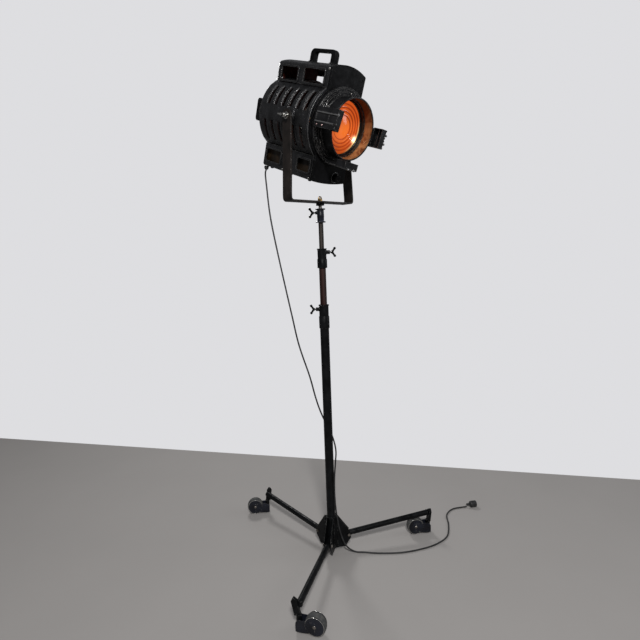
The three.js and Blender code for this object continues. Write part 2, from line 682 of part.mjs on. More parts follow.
function wheelHub() {
  return alongY(turnedRing([
    [4 + GAP, -13.5], [9, -13.5], [10, -9], [caster.core, -9],
    [caster.core, 9], [10, 9], [9, 13.5], [4 + GAP, 13.5],
  ], ROUND.medium)).translate(caster.trail, 0, caster.wheel);
}

function tyre() {
  const half = caster.width / 2;
  const inner = caster.core + GAP;
  return alongY(turnedRing([
    [inner, -half], [caster.wheel - 4, -half], [caster.wheel, -half + 5], [caster.wheel, half - 5],
    [caster.wheel - 4, half], [inner, half],
  ], ROUND.wide)).translate(caster.trail, 0, caster.wheel);
}

function casterPieces(side) {
  const angle = deg(LEGS[side]);
  const pieces = group(
    part(`caster_fork_${side}`, casterFork(), 'standPaint'),
    part(`caster_axle_${side}`, casterAxle(), 'brightSteel'),
    part(`wheel_hub_${side}`, wheelHub(), 'standPaint'),
    part(`tyre_${side}`, tyre(), 'rubber'),
  );
  pieces.position.set(leg.end * Math.cos(angle), leg.end * Math.sin(angle), 0);
  pieces.rotation.z = deg(TRAIL_ANGLES[side]);
  return pieces;
}

function basePieces() {
  const sides = Object.entries(LEGS).flatMap(([side, angle]) => [
    part(`leg_${side}`, legWeldment(), 'standPaint', { turn: deg(angle) }),
    part(`leg_bolt_${side}`, legBolt(), 'wornSteel', { turn: deg(angle) }),
    casterPieces(side),
  ]);
  return [part('base_hub', baseHub(), 'standPaint'), ...sides];
}

// ---------------------------------------------------------------- cable

/** Hangs from under the head towards the column, outside everything that turns on it. */
function cableDrop() {
  return cable([[-76, 254, 1698], [-80, 245, 1630], [-84, 232, 1550], [-86, 216, 1475], [-84, 191, 1367],
    [-80, 160, 1237], [-74, 124, 1086], [-66, 95, 956], [-58, 72, 880]], cableRadius, 14);
}

/** Comes in to the column, passes behind it, runs down between two legs and over the floor. */
function cableRun() {
  const floor = cableRadius + GAP;
  return cable([[-50, 52, 820], [-38, 34, 730], [-22, 27, 670], [8, 27, 620], [29, -6, 560],
    [27, -25, 480], [18, -24, 386], [11, -26, 291], [4, -31, 190], [8, -42, 110], [19, -66, 45],
    [48, -92, floor + 3], [80, -126, floor], [120, -178, floor], [190, -247, floor],
    [270, -297, floor], [350, -329, floor], [435, -333, floor], [520, -288, floor],
    [590, -236, floor], [660, -228, floor], [plug.x, plug.y, floor]], cableRadius, 48);
}

function cablePlug() {
  const { radius, length } = plug;
  const profile = [[0, 0.5], [5, 0.5], [7, 14], [radius - 2, 20], [radius, 24], [radius, length],
    [0, length]];
  return alongX(turned(profile, ROUND.small)).rotateZ(deg(plug.turn))
    .translate(plug.x, plug.y, radius + 0.4);
}

// ---------------------------------------------------------------- assembly

function runnerPart(name, turn) {
  const mesh = part(name, frameRunner(), 'casting');
  mesh.rotation.y = deg(turn);
  return mesh;
}

const lensDoor = group(
  part('lens_tube', lensTube(), 'casting'),
  part('fresnel_lens', fresnelLens(), 'glass'),
  part('lens_ring', lensRing(), 'brass'),
  runnerPart('runner_right', RUNNER_TURNS.right),
  runnerPart('runner_bottom', RUNNER_TURNS.bottom),
  runnerPart('runner_left', RUNNER_TURNS.left),
);

const lampUnit = group(
  part('lamp_carriage', lampCarriage(), 'wornSteel'),
  part('lamp_holder', lampHolder(), 'ceramic'),
  part('lamp_bulb', lampBulb(), 'bulb'),
  part('reflector', reflector(), 'mirror'),
);
lampUnit.position.y = lamp.y;

const head = group(
  part('drum_shell', drumShell(), 'casting'),
  part('bonnet', bonnetShell(), 'casting'),
  part('bottom_housing', bottomHousing(), 'casting'),
  part('front_plate', frontPlate(), 'casting'),
  part('rear_plate', rearPlate(), 'casting'),
  part('carry_handle', carryHandle(), 'casting'),
  part('rear_grip', rearGrip(), 'casting'),
  part('cable_gland', cableGland(), 'flex'),
  part('door_hinge_pin', rod(hinge.pin, -hinge.half, hinge.half, 10), 'wornSteel',
    { at: [hinge.x, hinge.y, 0] }),
  part('pivot_stud_left', pivotStud(-1), 'brightSteel'),
  part('pivot_stud_right', pivotStud(1), 'brightSteel'),
  part('wing_nut_left', wingNut(-1), 'brightSteel'),
  part('wing_nut_right', wingNut(1), 'brightSteel'),
  part('carriage_rail', carriageRail(), 'wornSteel'),
  part('focus_screw', focusScrew(), 'wornSteel'),
  part('focus_knob', focusKnob(), 'casting'),
  lampUnit,
  lensDoor,
);
head.position.z = PIVOT_HEIGHT;
head.rotation.x = TILT;

const spotlight = group(
  ...basePieces(),
  ...columnPieces(),
  part('yoke', yokeBar(), 'flatBar'),
  part('spigot', spigotBody(), 'standPaint'),
  part('yoke_eye_nut', yokeEyeNut(), 'brass'),
  part('cable_drop', cableDrop(), 'flex'),
  part('cable_run', cableRun(), 'flex'),
  part('cable_plug', cablePlug(), 'flex'),
  head,
);
spotlight.position.z = -hub.low;

export default spotlight;
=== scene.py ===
"""Looks of a stage spotlight in a yoke on a wheeled three-section stand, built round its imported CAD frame.

Shapes are drawn in millimetres, either in the row frame or in the head's own frame, whose origin is the
middle of the tilt axis, with -Y towards the lens and +Z towards the handle.
"""

import json
import math

import bmesh
import bpy
from mathutils import Matrix, Vector


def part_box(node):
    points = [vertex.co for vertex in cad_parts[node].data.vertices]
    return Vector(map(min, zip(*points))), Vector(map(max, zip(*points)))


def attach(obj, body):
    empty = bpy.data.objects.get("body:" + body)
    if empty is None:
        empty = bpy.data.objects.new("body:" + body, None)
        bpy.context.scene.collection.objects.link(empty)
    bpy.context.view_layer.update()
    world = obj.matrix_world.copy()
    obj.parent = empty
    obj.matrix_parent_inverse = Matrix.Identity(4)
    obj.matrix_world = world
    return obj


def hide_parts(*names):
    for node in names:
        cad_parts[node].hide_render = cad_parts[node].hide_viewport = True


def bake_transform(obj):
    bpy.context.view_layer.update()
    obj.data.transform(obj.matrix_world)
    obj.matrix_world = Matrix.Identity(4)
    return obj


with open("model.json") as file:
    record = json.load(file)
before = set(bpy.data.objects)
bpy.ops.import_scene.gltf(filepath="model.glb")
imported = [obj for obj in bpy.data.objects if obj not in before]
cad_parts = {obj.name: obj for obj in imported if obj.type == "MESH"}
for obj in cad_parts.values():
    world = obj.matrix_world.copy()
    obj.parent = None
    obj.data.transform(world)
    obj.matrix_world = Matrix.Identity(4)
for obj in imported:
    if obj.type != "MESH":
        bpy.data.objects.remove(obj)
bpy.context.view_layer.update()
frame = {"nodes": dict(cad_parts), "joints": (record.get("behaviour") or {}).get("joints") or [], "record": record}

# ---------------------------------------------------------------- places in the frame

MM = 0.001
SIDES = ("back", "left", "right")
JOINTS = {j["name"]: j for j in frame["joints"]}

PIVOT = Vector(JOINTS["head_tilt"]["pos_m"])
HEAD_UP = Vector(JOINTS["lens_door_hinge"]["axis"])
TILT = math.atan2(-HEAD_UP.y, HEAD_UP.z)

STAND = Matrix.Identity(4)
HEAD = Matrix.Translation(PIVOT) @ Matrix.Rotation(TILT, 4, "X")
ALONG_X = Matrix.Rotation(math.pi / 2, 4, "Y")
ALONG_Y = Matrix.Rotation(-math.pi / 2, 4, "X")
FORWARD = ALONG_Y @ Matrix.Rotation(math.pi, 4, "X")  # from +Z to -Y
UPRIGHT = Matrix(((1, 0, 0, 0), (0, 0, 1, 0), (0, 1, 0, 0), (0, 0, 0, 1)))  # outline (x, z), depth y
SIDEWAYS = Matrix(((0, 0, 1, 0), (1, 0, 0, 0), (0, 1, 0, 0), (0, 0, 0, 1)))  # outline (y, z), depth x


def extent(node, place=STAND):
    """Lowest and highest corner of a CAD node in millimetres, in the frame `place`."""
    inverse = place.inverted()
    points = [inverse @ v.co for v in frame["nodes"][node].data.vertices]
    low = Vector([min(p[i] for p in points) for i in range(3)])
    high = Vector([max(p[i] for p in points) for i in range(3)])
    return low / MM, high / MM


def shift(x=0.0, y=0.0, z=0.0):
    return Matrix.Translation((x, y, z))


def turn(degrees, axis="Z"):
    return Matrix.Rotation(math.radians(degrees), 4, axis)


def mirror(sign, axis=(1, 0, 0)):
    """Nothing for a sign of 1, a mirror image along the axis for -1."""
    return Matrix.Scale(sign, 4, axis)


def heading(vector):
    """The turn about Z that takes +X to the way a vector points in plan."""
    return turn(math.degrees(math.atan2(vector.y, vector.x)))


def joint_place(name):
    """Where a joint is, in millimetres, in the row frame."""
    return Vector(JOINTS[name]["pos_m"]) / MM


def screw_place(joint, unit=1.0):
    """Frame of a clamp screw on the column: X out along the screw. The unit is 1 for millimetres."""
    return shift(z=joint_place(joint).z * unit) @ heading(Vector(JOINTS[joint]["axis"]))


# ---------------------------------------------------------------- mesh building

FINE = 64  # facets round a turned piece
SMALL = 32
ON_AXIS = 1e-6
SHARP = math.radians(32)  # edges sharper than this are bevelled or left hard


def around(count):
    """Angles of `count` even steps round a circle."""
    return [2 * math.pi * k / count for k in range(count)]


def revolve(bm, profile, place=None, segments=FINE):
    """Revolves (radius, height) pairs about Z. A profile that starts off the axis closes into a ring."""
    place = place or Matrix()
    angles = around(segments)
    rings = []
    for radius, height in profile:
        if radius < ON_AXIS:
            rings.append([bm.verts.new(place @ Vector((0, 0, height)))])
            continue
        rings.append([bm.verts.new(place @ Vector((radius * math.cos(a), radius * math.sin(a), height)))
                      for a in angles])
    pairs = list(zip(rings, rings[1:]))
    if profile[0][0] > ON_AXIS:
        pairs.append((rings[-1], rings[0]))
    faces = []
    for lower, upper in pairs:
        for i in range(segments):
            j = (i + 1) % segments
            corners = dict.fromkeys([lower[i % len(lower)], lower[j % len(lower)],
                                     upper[j % len(upper)], upper[i % len(upper)]])
            if len(corners) > 2:
                faces.append(bm.faces.new(list(corners)))
    return faces


def rod(bm, radius, low, high, place=None, segments=SMALL):
    return revolve(bm, [(0, low), (radius, low), (radius, high), (0, high)], place, segments)


def ring(bm, inner, outer, low, high, place=None, segments=FINE):
    return revolve(bm, [(inner, low), (outer, low), (outer, high), (inner, high)], place, segments)


def prism(bm, outline, low, high, place=None):
    """Extrudes a closed outline of (x, y) pairs from z low to z high."""
    place = place or Matrix()
    base = [bm.verts.new(place @ Vector((x, y, low))) for x, y in outline]
    top = [bm.verts.new(place @ Vector((x, y, high))) for x, y in outline]
    bm.faces.new(list(reversed(base)))
    bm.faces.new(top)
    for i in range(len(base)):
        j = (i + 1) % len(base)
        bm.faces.new([base[i], base[j], top[j], top[i]])


def block(bm, x0, x1, y0, y1, z0, z1, place=None):
    prism(bm, [(x0, y0), (x1, y0), (x1, y1), (x0, y1)], z0, z1, place)


def hexagon(radius, phase=0.0):
    """Corner radius to the six corners of a nut or a bolt head."""
    corners = [math.radians(60 * i + phase) for i in range(6)]
    return [(radius * math.cos(a), radius * math.sin(a)) for a in corners]


def arc(centre, radius, start, end, steps=8):
    """Points on an arc, angles in degrees, both ends included."""
    angles = [math.radians(start + (end - start) * i / steps) for i in range(steps + 1)]
    return [(centre[0] + radius * math.cos(a), centre[1] + radius * math.sin(a)) for a in angles]


def rounded_box(x0, x1, y0, y1, radius, steps=6):
    return (arc((x1 - radius, y1 - radius), radius, 0, 90, steps)
            + arc((x0 + radius, y1 - radius), radius, 90, 180, steps)
            + arc((x0 + radius, y0 + radius), radius, 180, 270, steps)
            + arc((x1 - radius, y0 + radius), radius, 270, 360, steps))


def loop_frame(bm, outer, inner, low, high, place=None):
    """A flat frame between two outlines that have the same number of points."""
    place = place or Matrix()
    loops = [[bm.verts.new(place @ Vector((x, y, z))) for x, y in outline]
             for outline, z in ((outer, low), (outer, high), (inner, high), (inner, low))]
    for a, b in zip(loops, loops[1:] + loops[:1]):
        for i in range(len(a)):
            j = (i + 1) % len(a)
            bm.faces.new([a[i], a[j], b[j], b[i]])


def sweep(bm, sections, closed=False):
    """Skins cross-sections, each a list of points, into a solid."""
    rings = [[bm.verts.new(p) for p in section] for section in sections]
    pairs = list(zip(rings, rings[1:])) + ([(rings[-1], rings[0])] if closed else [])
    for a, b in pairs:
        for i in range(len(a)):
            j = (i + 1) % len(a)
            bm.faces.new([a[i], a[j], b[j], b[i]])
    if not closed:
        bm.faces.new(list(reversed(rings[0])))
        bm.faces.new(rings[-1])


def tube_along(bm, path, radius, segments=12):
    """A round flex through a list of points, its section carried along without twist."""
    side = Vector((0, 0, 1)).cross(path[1] - path[0])
    side = side.normalized() if side.length > ON_AXIS else Vector((1, 0, 0))
    sections = []
    for i, point in enumerate(path):
        ahead = (path[min(i + 1, len(path) - 1)] - path[max(i - 1, 0)]).normalized()
        side = (side - ahead * side.dot(ahead)).normalized()
        other = ahead.cross(side)
        sections.append([point + radius * (math.cos(a) * side + math.sin(a) * other)
                         for a in around(segments)])
    sweep(bm, sections)


def hoop(bm, radius, wire, place, segments, sides):
    """A closed hoop about Z. wire(angle) is the radius of its round section."""
    sections = []
    for a in around(segments):
        out = Vector((math.cos(a), math.sin(a), 0))
        thick = wire(a)
        sections.append([place @ (out * (radius + thick * math.cos(b)) + Vector((0, 0, thick * math.sin(b))))
                         for b in around(sides)])
    sweep(bm, sections, closed=True)


def smooth_path(points, step=6.0):
    """A Catmull-Rom curve through the points, sampled about every `step` millimetres."""
    pts = [Vector(p) for p in points]
    pts = [2 * pts[0] - pts[1]] + pts + [2 * pts[-1] - pts[-2]]
    path = []
    for a, b, c, d in zip(pts, pts[1:], pts[2:], pts[3:]):
        count = max(2, int((c - b).length / step))
        for i in range(count):
            t = i / count
            path.append(0.5 * (2 * b + (c - a) * t + (2 * a - 5 * b + 4 * c - d) * t ** 2
                               + (3 * b - a - 3 * c + d) * t ** 3))
    return path + [pts[-2]]


def order_by_place(elements, place_of):
    """Puts vertices or faces in order of where they are: a boolean's own order changes from run to run."""
    ranks = {e: i for i, e in enumerate(sorted(elements, key=lambda e: tuple(place_of(e))))}
    elements.sort(key=lambda e: ranks[e])


def carved(bm, *cutters):
    """bm with each cutter taken out of it, by exact booleans."""
    meshes = []
    for source in (bm, *cutters):
        bmesh.ops.recalc_face_normals(source, faces=source.faces)
        mesh = bpy.data.meshes.new("carving")
        source.to_mesh(mesh)
        source.free()
        holder = bpy.data.objects.new("carving", mesh)
        bpy.context.scene.collection.objects.link(holder)
        meshes.append(holder)
    whole, tools = meshes[0], meshes[1:]
    for tool in tools:
        modifier = whole.modifiers.new("cut", "BOOLEAN")
        modifier.operation, modifier.solver, modifier.object = "DIFFERENCE", "EXACT", tool
    depsgraph = bpy.context.evaluated_depsgraph_get()
    result = bmesh.new()
    result.from_mesh(whole.evaluated_get(depsgraph).to_mesh())
    for holder in meshes:
        mesh = holder.data
        bpy.data.objects.remove(holder)
        bpy.data.meshes.remove(mesh)
    bmesh.ops.remove_doubles(result, verts=result.verts, dist=0.01)
    order_by_place(result.verts, lambda v: v.co)
    order_by_place(result.faces, lambda f: f.calc_center_median())
    return result


def piece(name, bm, finish, body, place=STAND, replaces=(), bevel=0.0, subdivide=0,
          inside=None, blend=None):
    """Turns a millimetre mesh into a named piece of the object.

    inside: (test, finish), a second finish for the faces whose centre passes the test.
    blend: (body_a, body_b, start, end), for a piece that crosses a joint; only its presence is read, and the piece
    is then kept in place without a body.
    """
    bmesh.ops.recalc_face_normals(bm, faces=bm.faces)
    for face in bm.faces:
        face.smooth = True
        if inside and inside[0](face):
            face.material_index = 1
    bm.transform(place @ Matrix.Scale(MM, 4))
    mesh = bpy.data.meshes.new(name)
    bm.to_mesh(mesh)
    bm.free()
    obj = bpy.data.objects.new(name, mesh)
    bpy.context.scene.collection.objects.link(obj)
    mesh.materials.append(finish)
    if inside:
        mesh.materials.append(inside[1])
    if subdivide:
        modifier = obj.modifiers.new("round", "SUBSURF")
        modifier.levels = modifier.render_levels = subdivide
    elif bevel:
        modifier = obj.modifiers.new("edges", "BEVEL")
        modifier.width, modifier.segments = bevel * MM, 3
        modifier.limit_method, modifier.angle_limit = "ANGLE", SHARP
        modifier.harden_normals = True
    else:
        mesh.set_sharp_from_angle(angle=SHARP)
    if replaces:
        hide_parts(*replaces)
    if blend:
        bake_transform(obj)
    else:
        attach(obj, body)
    return obj


# ---------------------------------------------------------------- materials

COLOURS = {m["slot"]: tuple(m["base_color"][:3]) for m in frame["record"]["materials"]}


class Shader:
    """One procedural material, with short calls for the nodes this scene uses."""

    def __init__(self, name):
        self.material = bpy.data.materials.new(name)
        self.material.use_nodes = True
        self.tree = self.material.node_tree
        self.bsdf = self.tree.nodes["Principled BSDF"]
        self.place = self.add("ShaderNodeTexCoord").outputs["Object"]

    def add(self, kind, settings=None, inputs=None):
        node = self.tree.nodes.new(kind)
        for key, value in (settings or {}).items():
            setattr(node, key, value)
        for key, value in (inputs or {}).items():
            self.put(node.inputs[key], value)
        return node

    def put(self, socket, value):
        if isinstance(value, bpy.types.NodeSocket):
            self.tree.links.new(value, socket)
        elif isinstance(value, tuple) and len(value) == 3 and socket.type == "RGBA":
            socket.default_value = (*value, 1)
        else:
            socket.default_value = value

    def stretched(self, stretch):
        if stretch == (1, 1, 1):
            return self.place
        return self.add("ShaderNodeVectorMath", {"operation": "MULTIPLY"},
                        {0: self.place, 1: stretch}).outputs[0]

    def noise(self, scale, detail=4.0, stretch=(1, 1, 1), distortion=0.0):
        return self.add("ShaderNodeTexNoise", None, {
            "Vector": self.stretched(stretch), "Scale": scale, "Detail": detail,
            "Distortion": distortion}).outputs["Fac"]

    def cells(self, scale, stretch=(1, 1, 1)):
        return self.add("ShaderNodeTexVoronoi", {"feature": "SMOOTH_F1"}, {
            "Vector": self.stretched(stretch), "Scale": scale, "Smoothness": 0.6}).outputs["Distance"]

    def sum(self, operation, a, b=0.0):
        return self.add("ShaderNodeMath", {"operation": operation}, {0: a, 1: b}).outputs[0]

    def ramp(self, value, low, high, start=0.0, end=1.0):
        return self.add("ShaderNodeMapRange", {"interpolation_type": "SMOOTHSTEP"}, {
            "Value": value, "From Min": low, "From Max": high, "To Min": start, "To Max": end,
        }).outputs["Result"]

    def mix(self, factor, a, b):
        node = self.add("ShaderNodeMix", {"data_type": "RGBA"})
        for index, value in ((0, factor), (6, a), (7, b)):
            self.put(node.inputs[index], value)
        return node.outputs[2]

    def edges(self, radius):
        """About 1 on the edges of the piece and 0 on its flats."""
        soft = self.add("ShaderNodeBevel", {"samples": 4}, {"Radius": radius}).outputs[0]
        sharp = self.add("ShaderNodeNewGeometry").outputs["Normal"]
        dot = self.add("ShaderNodeVectorMath", {"operation": "DOT_PRODUCT"}, {0: soft, 1: sharp})
        return self.ramp(dot.outputs["Value"], 0.995, 0.86)

    def bump(self, height, distance, strength=1.0, below=None):
        inputs = {"Height": height, "Distance": distance, "Strength": strength}
        if below is not None:
            inputs["Normal"] = below
        return self.add("ShaderNodeBump", None, inputs).outputs[0]

    def finish(self, **values):
        for key, value in values.items():
            self.put(self.bsdf.inputs[key.replace("_", " ").title().replace("Ior", "IOR")], value)
        return self.material


def shade(colour, factor):
    return tuple(min(1.0, c * factor) for c in colour)


def painted(name, paint, bare=(0.32, 0.31, 0.3), grain=0.0016, relief=0.0004, rough=0.42, wear=0.5,
            dust=0.35, dust_colour=(0.16, 0.16, 0.17), stretch=(1, 1, 1), gleam=0.3):
    """Paint with a fine crinkle, worn through on its edges, with pale scuffs and uneven gloss."""
    s = Shader(name)
    crinkle = s.noise(1 / grain, 3, stretch)
    blobs = s.cells(0.55 / grain, stretch)
    patches = s.noise(22, 6, stretch, 0.4)
    chips = s.noise(170, 5, stretch)
    edge_wear = s.sum("MULTIPLY", s.edges(0.0022), s.ramp(chips, 0.62 - 0.25 * wear, 0.78 - 0.2 * wear))
    scratches = s.ramp(s.noise(95, 8, stretch, 1.2), 0.62, 0.74)
    scuffs = s.sum("MULTIPLY", scratches, s.ramp(patches, 0.48, 0.66))
    tone = s.mix(s.ramp(patches, 0.3, 0.7), shade(paint, 0.25), shade(paint, 0.8))
    tone = s.mix(s.sum("MULTIPLY", scuffs, dust), tone, dust_colour)
    tone = s.mix(edge_wear, tone, bare)
    gloss = s.ramp(s.noise(48, 5, stretch), 0.3, 0.7, rough - 0.12, rough + 0.16)
    height = s.sum("ADD", crinkle, s.sum("MULTIPLY", blobs, 0.8))
    lumps = s.bump(s.noise(60, 3, stretch), 0.0012, 0.5)
    return s.finish(base_color=tone, roughness=s.sum("SUBTRACT", gloss, s.sum("MULTIPLY", edge_wear, 0.1)),
                    metallic=s.sum("MULTIPLY", edge_wear, 0.85), specular_ior_level=gleam,
                    normal=s.bump(height, relief, 0.9, lumps))


def bare_metal(name, metal, tarnish, rough=0.32, tarnish_share=0.45, stretch=(1, 1, 1), grain=700):
    """Drawn or plated metal with fine scratches, tarnish patches and dull spots."""
    s = Shader(name)
    patches = s.ramp(s.noise(36, 7, stretch, 0.8), 0.62 - 0.3 * tarnish_share, 0.82 - 0.3 * tarnish_share)
    specks = s.ramp(s.noise(420, 4), 0.62, 0.7)
    dull = s.sum("MAXIMUM", patches, s.sum("MULTIPLY", specks, 0.7))
    scratches = s.noise(grain, 4, tuple(v * w for v, w in zip(stretch, (1, 1, 0.06))))
    tone = s.mix(dull, s.mix(scratches, shade(metal, 0.7), shade(metal, 1.15)), tarnish)
    return s.finish(base_color=tone, metallic=s.ramp(dull, 0, 1, 1.0, 0.45),
                    roughness=s.ramp(dull, 0, 1, rough, rough + 0.3),
                    normal=s.bump(s.sum("ADD", scratches, dull), 0.00012, 0.6))


def rubber(name, colour, dust_colour, grain=900, rough=0.72, dust=0.6):
    """Rubber or flex with a fine skin and dust rubbed into it."""
    s = Shader(name)
    skin = s.noise(grain, 4)
    dirt = s.ramp(s.noise(60, 7, (1, 1, 1), 0.7), 0.42, 0.72, 0, dust)
    tone = s.mix(dirt, s.mix(s.noise(18, 4), shade(colour, 0.75), shade(colour, 1.3)), dust_colour)
    return s.finish(base_color=tone, roughness=s.ramp(dirt, 0, 1, rough, rough + 0.2),
                    normal=s.bump(skin, 0.0002, 0.7))


def lens_place(s):
    """(radius, x, z) in millimetres from the lens axis, read from the lens's own attribute."""
    place = s.add("ShaderNodeAttribute", {"attribute_name": "lens_place"}).outputs["Vector"]
    split = s.add("ShaderNodeSeparateXYZ", None, {0: place})
    x, z = split.outputs["X"], split.outputs["Z"]
    radius = s.sum("SQRT", s.sum("ADD", s.sum("MULTIPLY", x, x), s.sum("MULTIPLY", z, z)))
    return radius, x, z


def glow_near(s, x, z, centre, reach):
    """1 at a point on the lens, falling to 0 at `reach` millimetres from it."""
    dx = s.sum("SUBTRACT", x, centre[0])
    dz = s.sum("SUBTRACT", z, centre[1])
    away = s.sum("SQRT", s.sum("ADD", s.sum("MULTIPLY", dx, dx), s.sum("MULTIPLY", dz, dz)))
    return s.ramp(away, reach, 0.0)


def amber_glass_painted_glow(name, ring_edges):
    """Stepped amber glass that glows: painted light from behind, painted shade at each step and low down, and
    painted highlights.
    """
    s = Shader(name)
    radius, x, z = lens_place(s)
    clear = ring_edges[-1]
    # painted shade: a thin dark line at each step of the glass, mixed in below
    line = None
    for edge in ring_edges[:-1]:
        away = s.sum("ABSOLUTE", s.sum("SUBTRACT", radius, edge))
        near = s.ramp(away, 4.2, 0.4)
        line = near if line is None else s.sum("MAXIMUM", line, near)
    shadow = s.ramp(s.sum("ADD", s.sum("MULTIPLY", x, 0.8), z), 60, 150)
    # painted shade: the glow is darker low down
    low = s.ramp(z, -10, -90)
    orange = s.mix(shadow, (0.92, 0.15, 0.022), (0.96, 0.13, 0.018))
    orange = s.mix(low, orange, (0.62, 0.1, 0.014))
    # painted light: a wide, brighter glow near the middle of the lens
    orange = s.mix(s.sum("MULTIPLY", glow_near(s, x, z, LENS_PAINTED_GLOW, 70), 0.6), orange, (1.0, 0.24, 0.035))
    # painted highlight: a pale yellow band just inside the edge of the glass on the right
    rim = s.sum("MULTIPLY", s.ramp(radius, clear - 12, clear - 3), s.ramp(x, 30, 88))
    rim = s.sum("MULTIPLY", rim, s.ramp(z, 45, -10))
    orange = s.mix(s.sum("MULTIPLY", rim, 0.9), orange, (1.0, 0.72, 0.3))
    orange = s.mix(s.sum("MULTIPLY", line, 0.78), orange, (0.16, 0.012, 0.002))
    # painted highlight: the lamp's hot glint, pale yellow and glowing stronger
    painted_hot_spot = s.sum("POWER", glow_near(s, x, z, LENS_PAINTED_HIGHLIGHT, 30), 2.2)
    orange = s.mix(painted_hot_spot, orange, (1.0, 0.85, 0.5))
    # painted light: the whole glass glows by emission, most strongly at the hot glint
    strength = s.sum("ADD", 0.62, s.sum("MULTIPLY", painted_hot_spot, 1.8))
    ripple = s.noise(130, 2)
    return s.finish(base_color=s.mix(0.5, orange, (0.3, 0.05, 0.01)), emission_color=orange,
                    emission_strength=strength, roughness=0.12, coat_weight=0.6, coat_roughness=0.08,
                    normal=s.bump(ripple, 0.0004, 0.4))


def hood_bronze_painted_shade(name, top, bottom):
    """Heat-browned metal, mottled, bright low down and darkened by painted shade to nearly black at the top."""
    s = Shader(name)
    height = s.add("ShaderNodeSeparateXYZ", None, {0: s.place}).outputs["Z"]
    mottle = s.ramp(s.noise(38, 7, (1, 1, 1), 1.0), 0.36, 0.66)
    tone = s.mix(mottle, (0.15, 0.055, 0.019), (0.38, 0.18, 0.066))
    specks = s.ramp(s.noise(190, 4), 0.6, 0.72)
    tone = s.mix(s.sum("MULTIPLY", specks, 0.5), tone, (0.03, 0.012, 0.006))
    # painted shade: the inside darkens to nearly black from the height bottom up to top
    tone = s.mix(s.ramp(height, bottom, top), tone, (0.016, 0.009, 0.005))
    return s.finish(base_color=tone, metallic=0.35, roughness=s.ramp(mottle, 0, 1, 0.3, 0.46),
                    normal=s.bump(s.sum("ADD", mottle, specks), 0.0003, 0.5))


def clear_glass(name, tint):
    s = Shader(name)
    film = s.noise(70, 4)
    return s.finish(base_color=s.mix(film, tint, shade(tint, 0.8)), transmission_weight=0.95,
                    roughness=s.ramp(film, 0.4, 0.7, 0.02, 0.12), ior=1.45,
                    normal=s.bump(film, 0.0002, 0.2))


LENS_PAINTED_GLOW = (8, -8)  # the middle of the lens's wide painted glow, x and z in the head's frame
LENS_PAINTED_HIGHLIGHT = (79, -35)  # painted highlight for the lamp's hot glint in the lens, x and z in the head's frame
ALONG_GRAIN = (1, 1, 0.15)  # stretches a pattern along a drawn tube

BLACK = COLOURS["casting_black"]
CASTING = painted("casting_black", shade(BLACK, 0.8), relief=0.001, rough=0.28, wear=1.0, dust=0.7,
                  gleam=0.42)
COLLAR = painted("collar_black", shade(BLACK, 0.7), relief=0.0003, rough=0.36, wear=0.7, dust=0.45,
                 dust_colour=(0.14, 0.14, 0.15), gleam=0.22)
FLANGE = painted("flange_worn", shade(BLACK, 1.6), bare=(0.5, 0.5, 0.5), wear=1.5, dust=1.0,
                 dust_colour=(0.4, 0.4, 0.41))
# the casting's black at half its value: partly a smoother, darker paint, partly painted shade for fronts turned
# from the key light
PLATE = painted("plate_black", shade(BLACK, 0.4), relief=0.00035, wear=0.4, dust=0.12,
                dust_colour=(0.08, 0.08, 0.09), gleam=0.1)
CHANNEL = painted("channel_black", shade(BLACK, 0.8), relief=0.0002, rough=0.36, wear=0.7)
BAR = painted("bar_brown", shade(COLOURS["bar_brown"], 0.75), grain=0.004, relief=0.0002, rough=0.46,
              wear=0.45, dust=0.3, dust_colour=(0.12, 0.1, 0.09))
STAND_PAINT = painted("stand_black", shade(COLOURS["stand_black"], 0.6), grain=0.005, relief=0.0002,
                      rough=0.36, wear=0.5, dust=0.15, dust_colour=(0.07, 0.07, 0.07), gleam=0.12)
SOCKET_PAINT = painted("socket_blue_black", (0.018, 0.022, 0.038), grain=0.004, relief=0.0002,
                       rough=0.3, wear=0.8, dust=0.6, dust_colour=(0.16, 0.18, 0.26))
TUBE_BROWN = bare_metal("tube_brown", shade(COLOURS["tube_brown"], 1.5), shade(COLOURS["tube_brown"], 0.5),
                        0.36, 0.6, (1, 1, 0.12))
STEEL_WORN = bare_metal("steel_worn", shade(COLOURS["steel_worn"], 1.5), (0.07, 0.06, 0.05), 0.3, 0.5,
                        ALONG_GRAIN)
TUBE_STEEL = bare_metal("tube_steel", shade(COLOURS["steel_worn"], 0.35), (0.045, 0.035, 0.03), 0.34, 0.65,
                        ALONG_GRAIN)
STEEL = bare_metal("steel_bright", COLOURS["steel_bright"], (0.16, 0.15, 0.14), 0.22, 0.2)
STEEL_DULL = bare_metal("steel_dull", (0.48, 0.48, 0.48), (0.03, 0.028, 0.028), 0.3, 0.6)
PINK_STEEL = bare_metal("screw_copper", (0.62, 0.42, 0.4), (0.12, 0.08, 0.08), 0.3, 0.2)
BRASS = bare_metal("brass_old", COLOURS["brass_old"], (0.09, 0.055, 0.02), 0.3, 0.5)
WHEEL = painted("wheel_dark", COLOURS["wheel_dark"], grain=0.004, relief=0.00015, rough=0.26, wear=0.6,
                dust=0.35, dust_colour=(0.12, 0.13, 0.18))
TYRE = rubber("tyre_grey", shade(COLOURS["tyre_grey"], 0.3), (0.13, 0.125, 0.11))
FLEX = rubber("flex_black", COLOURS["flex_black"], (0.06, 0.06, 0.06), 1400, 0.5, 0.4)
HEAT_BROWN = painted("heat_brown", (0.09, 0.014, 0.008), bare=(0.12, 0.06, 0.04), grain=0.003,
                     relief=0.0004, rough=0.5, wear=0.2, dust=0.9, dust_colour=(0.26, 0.05, 0.02))
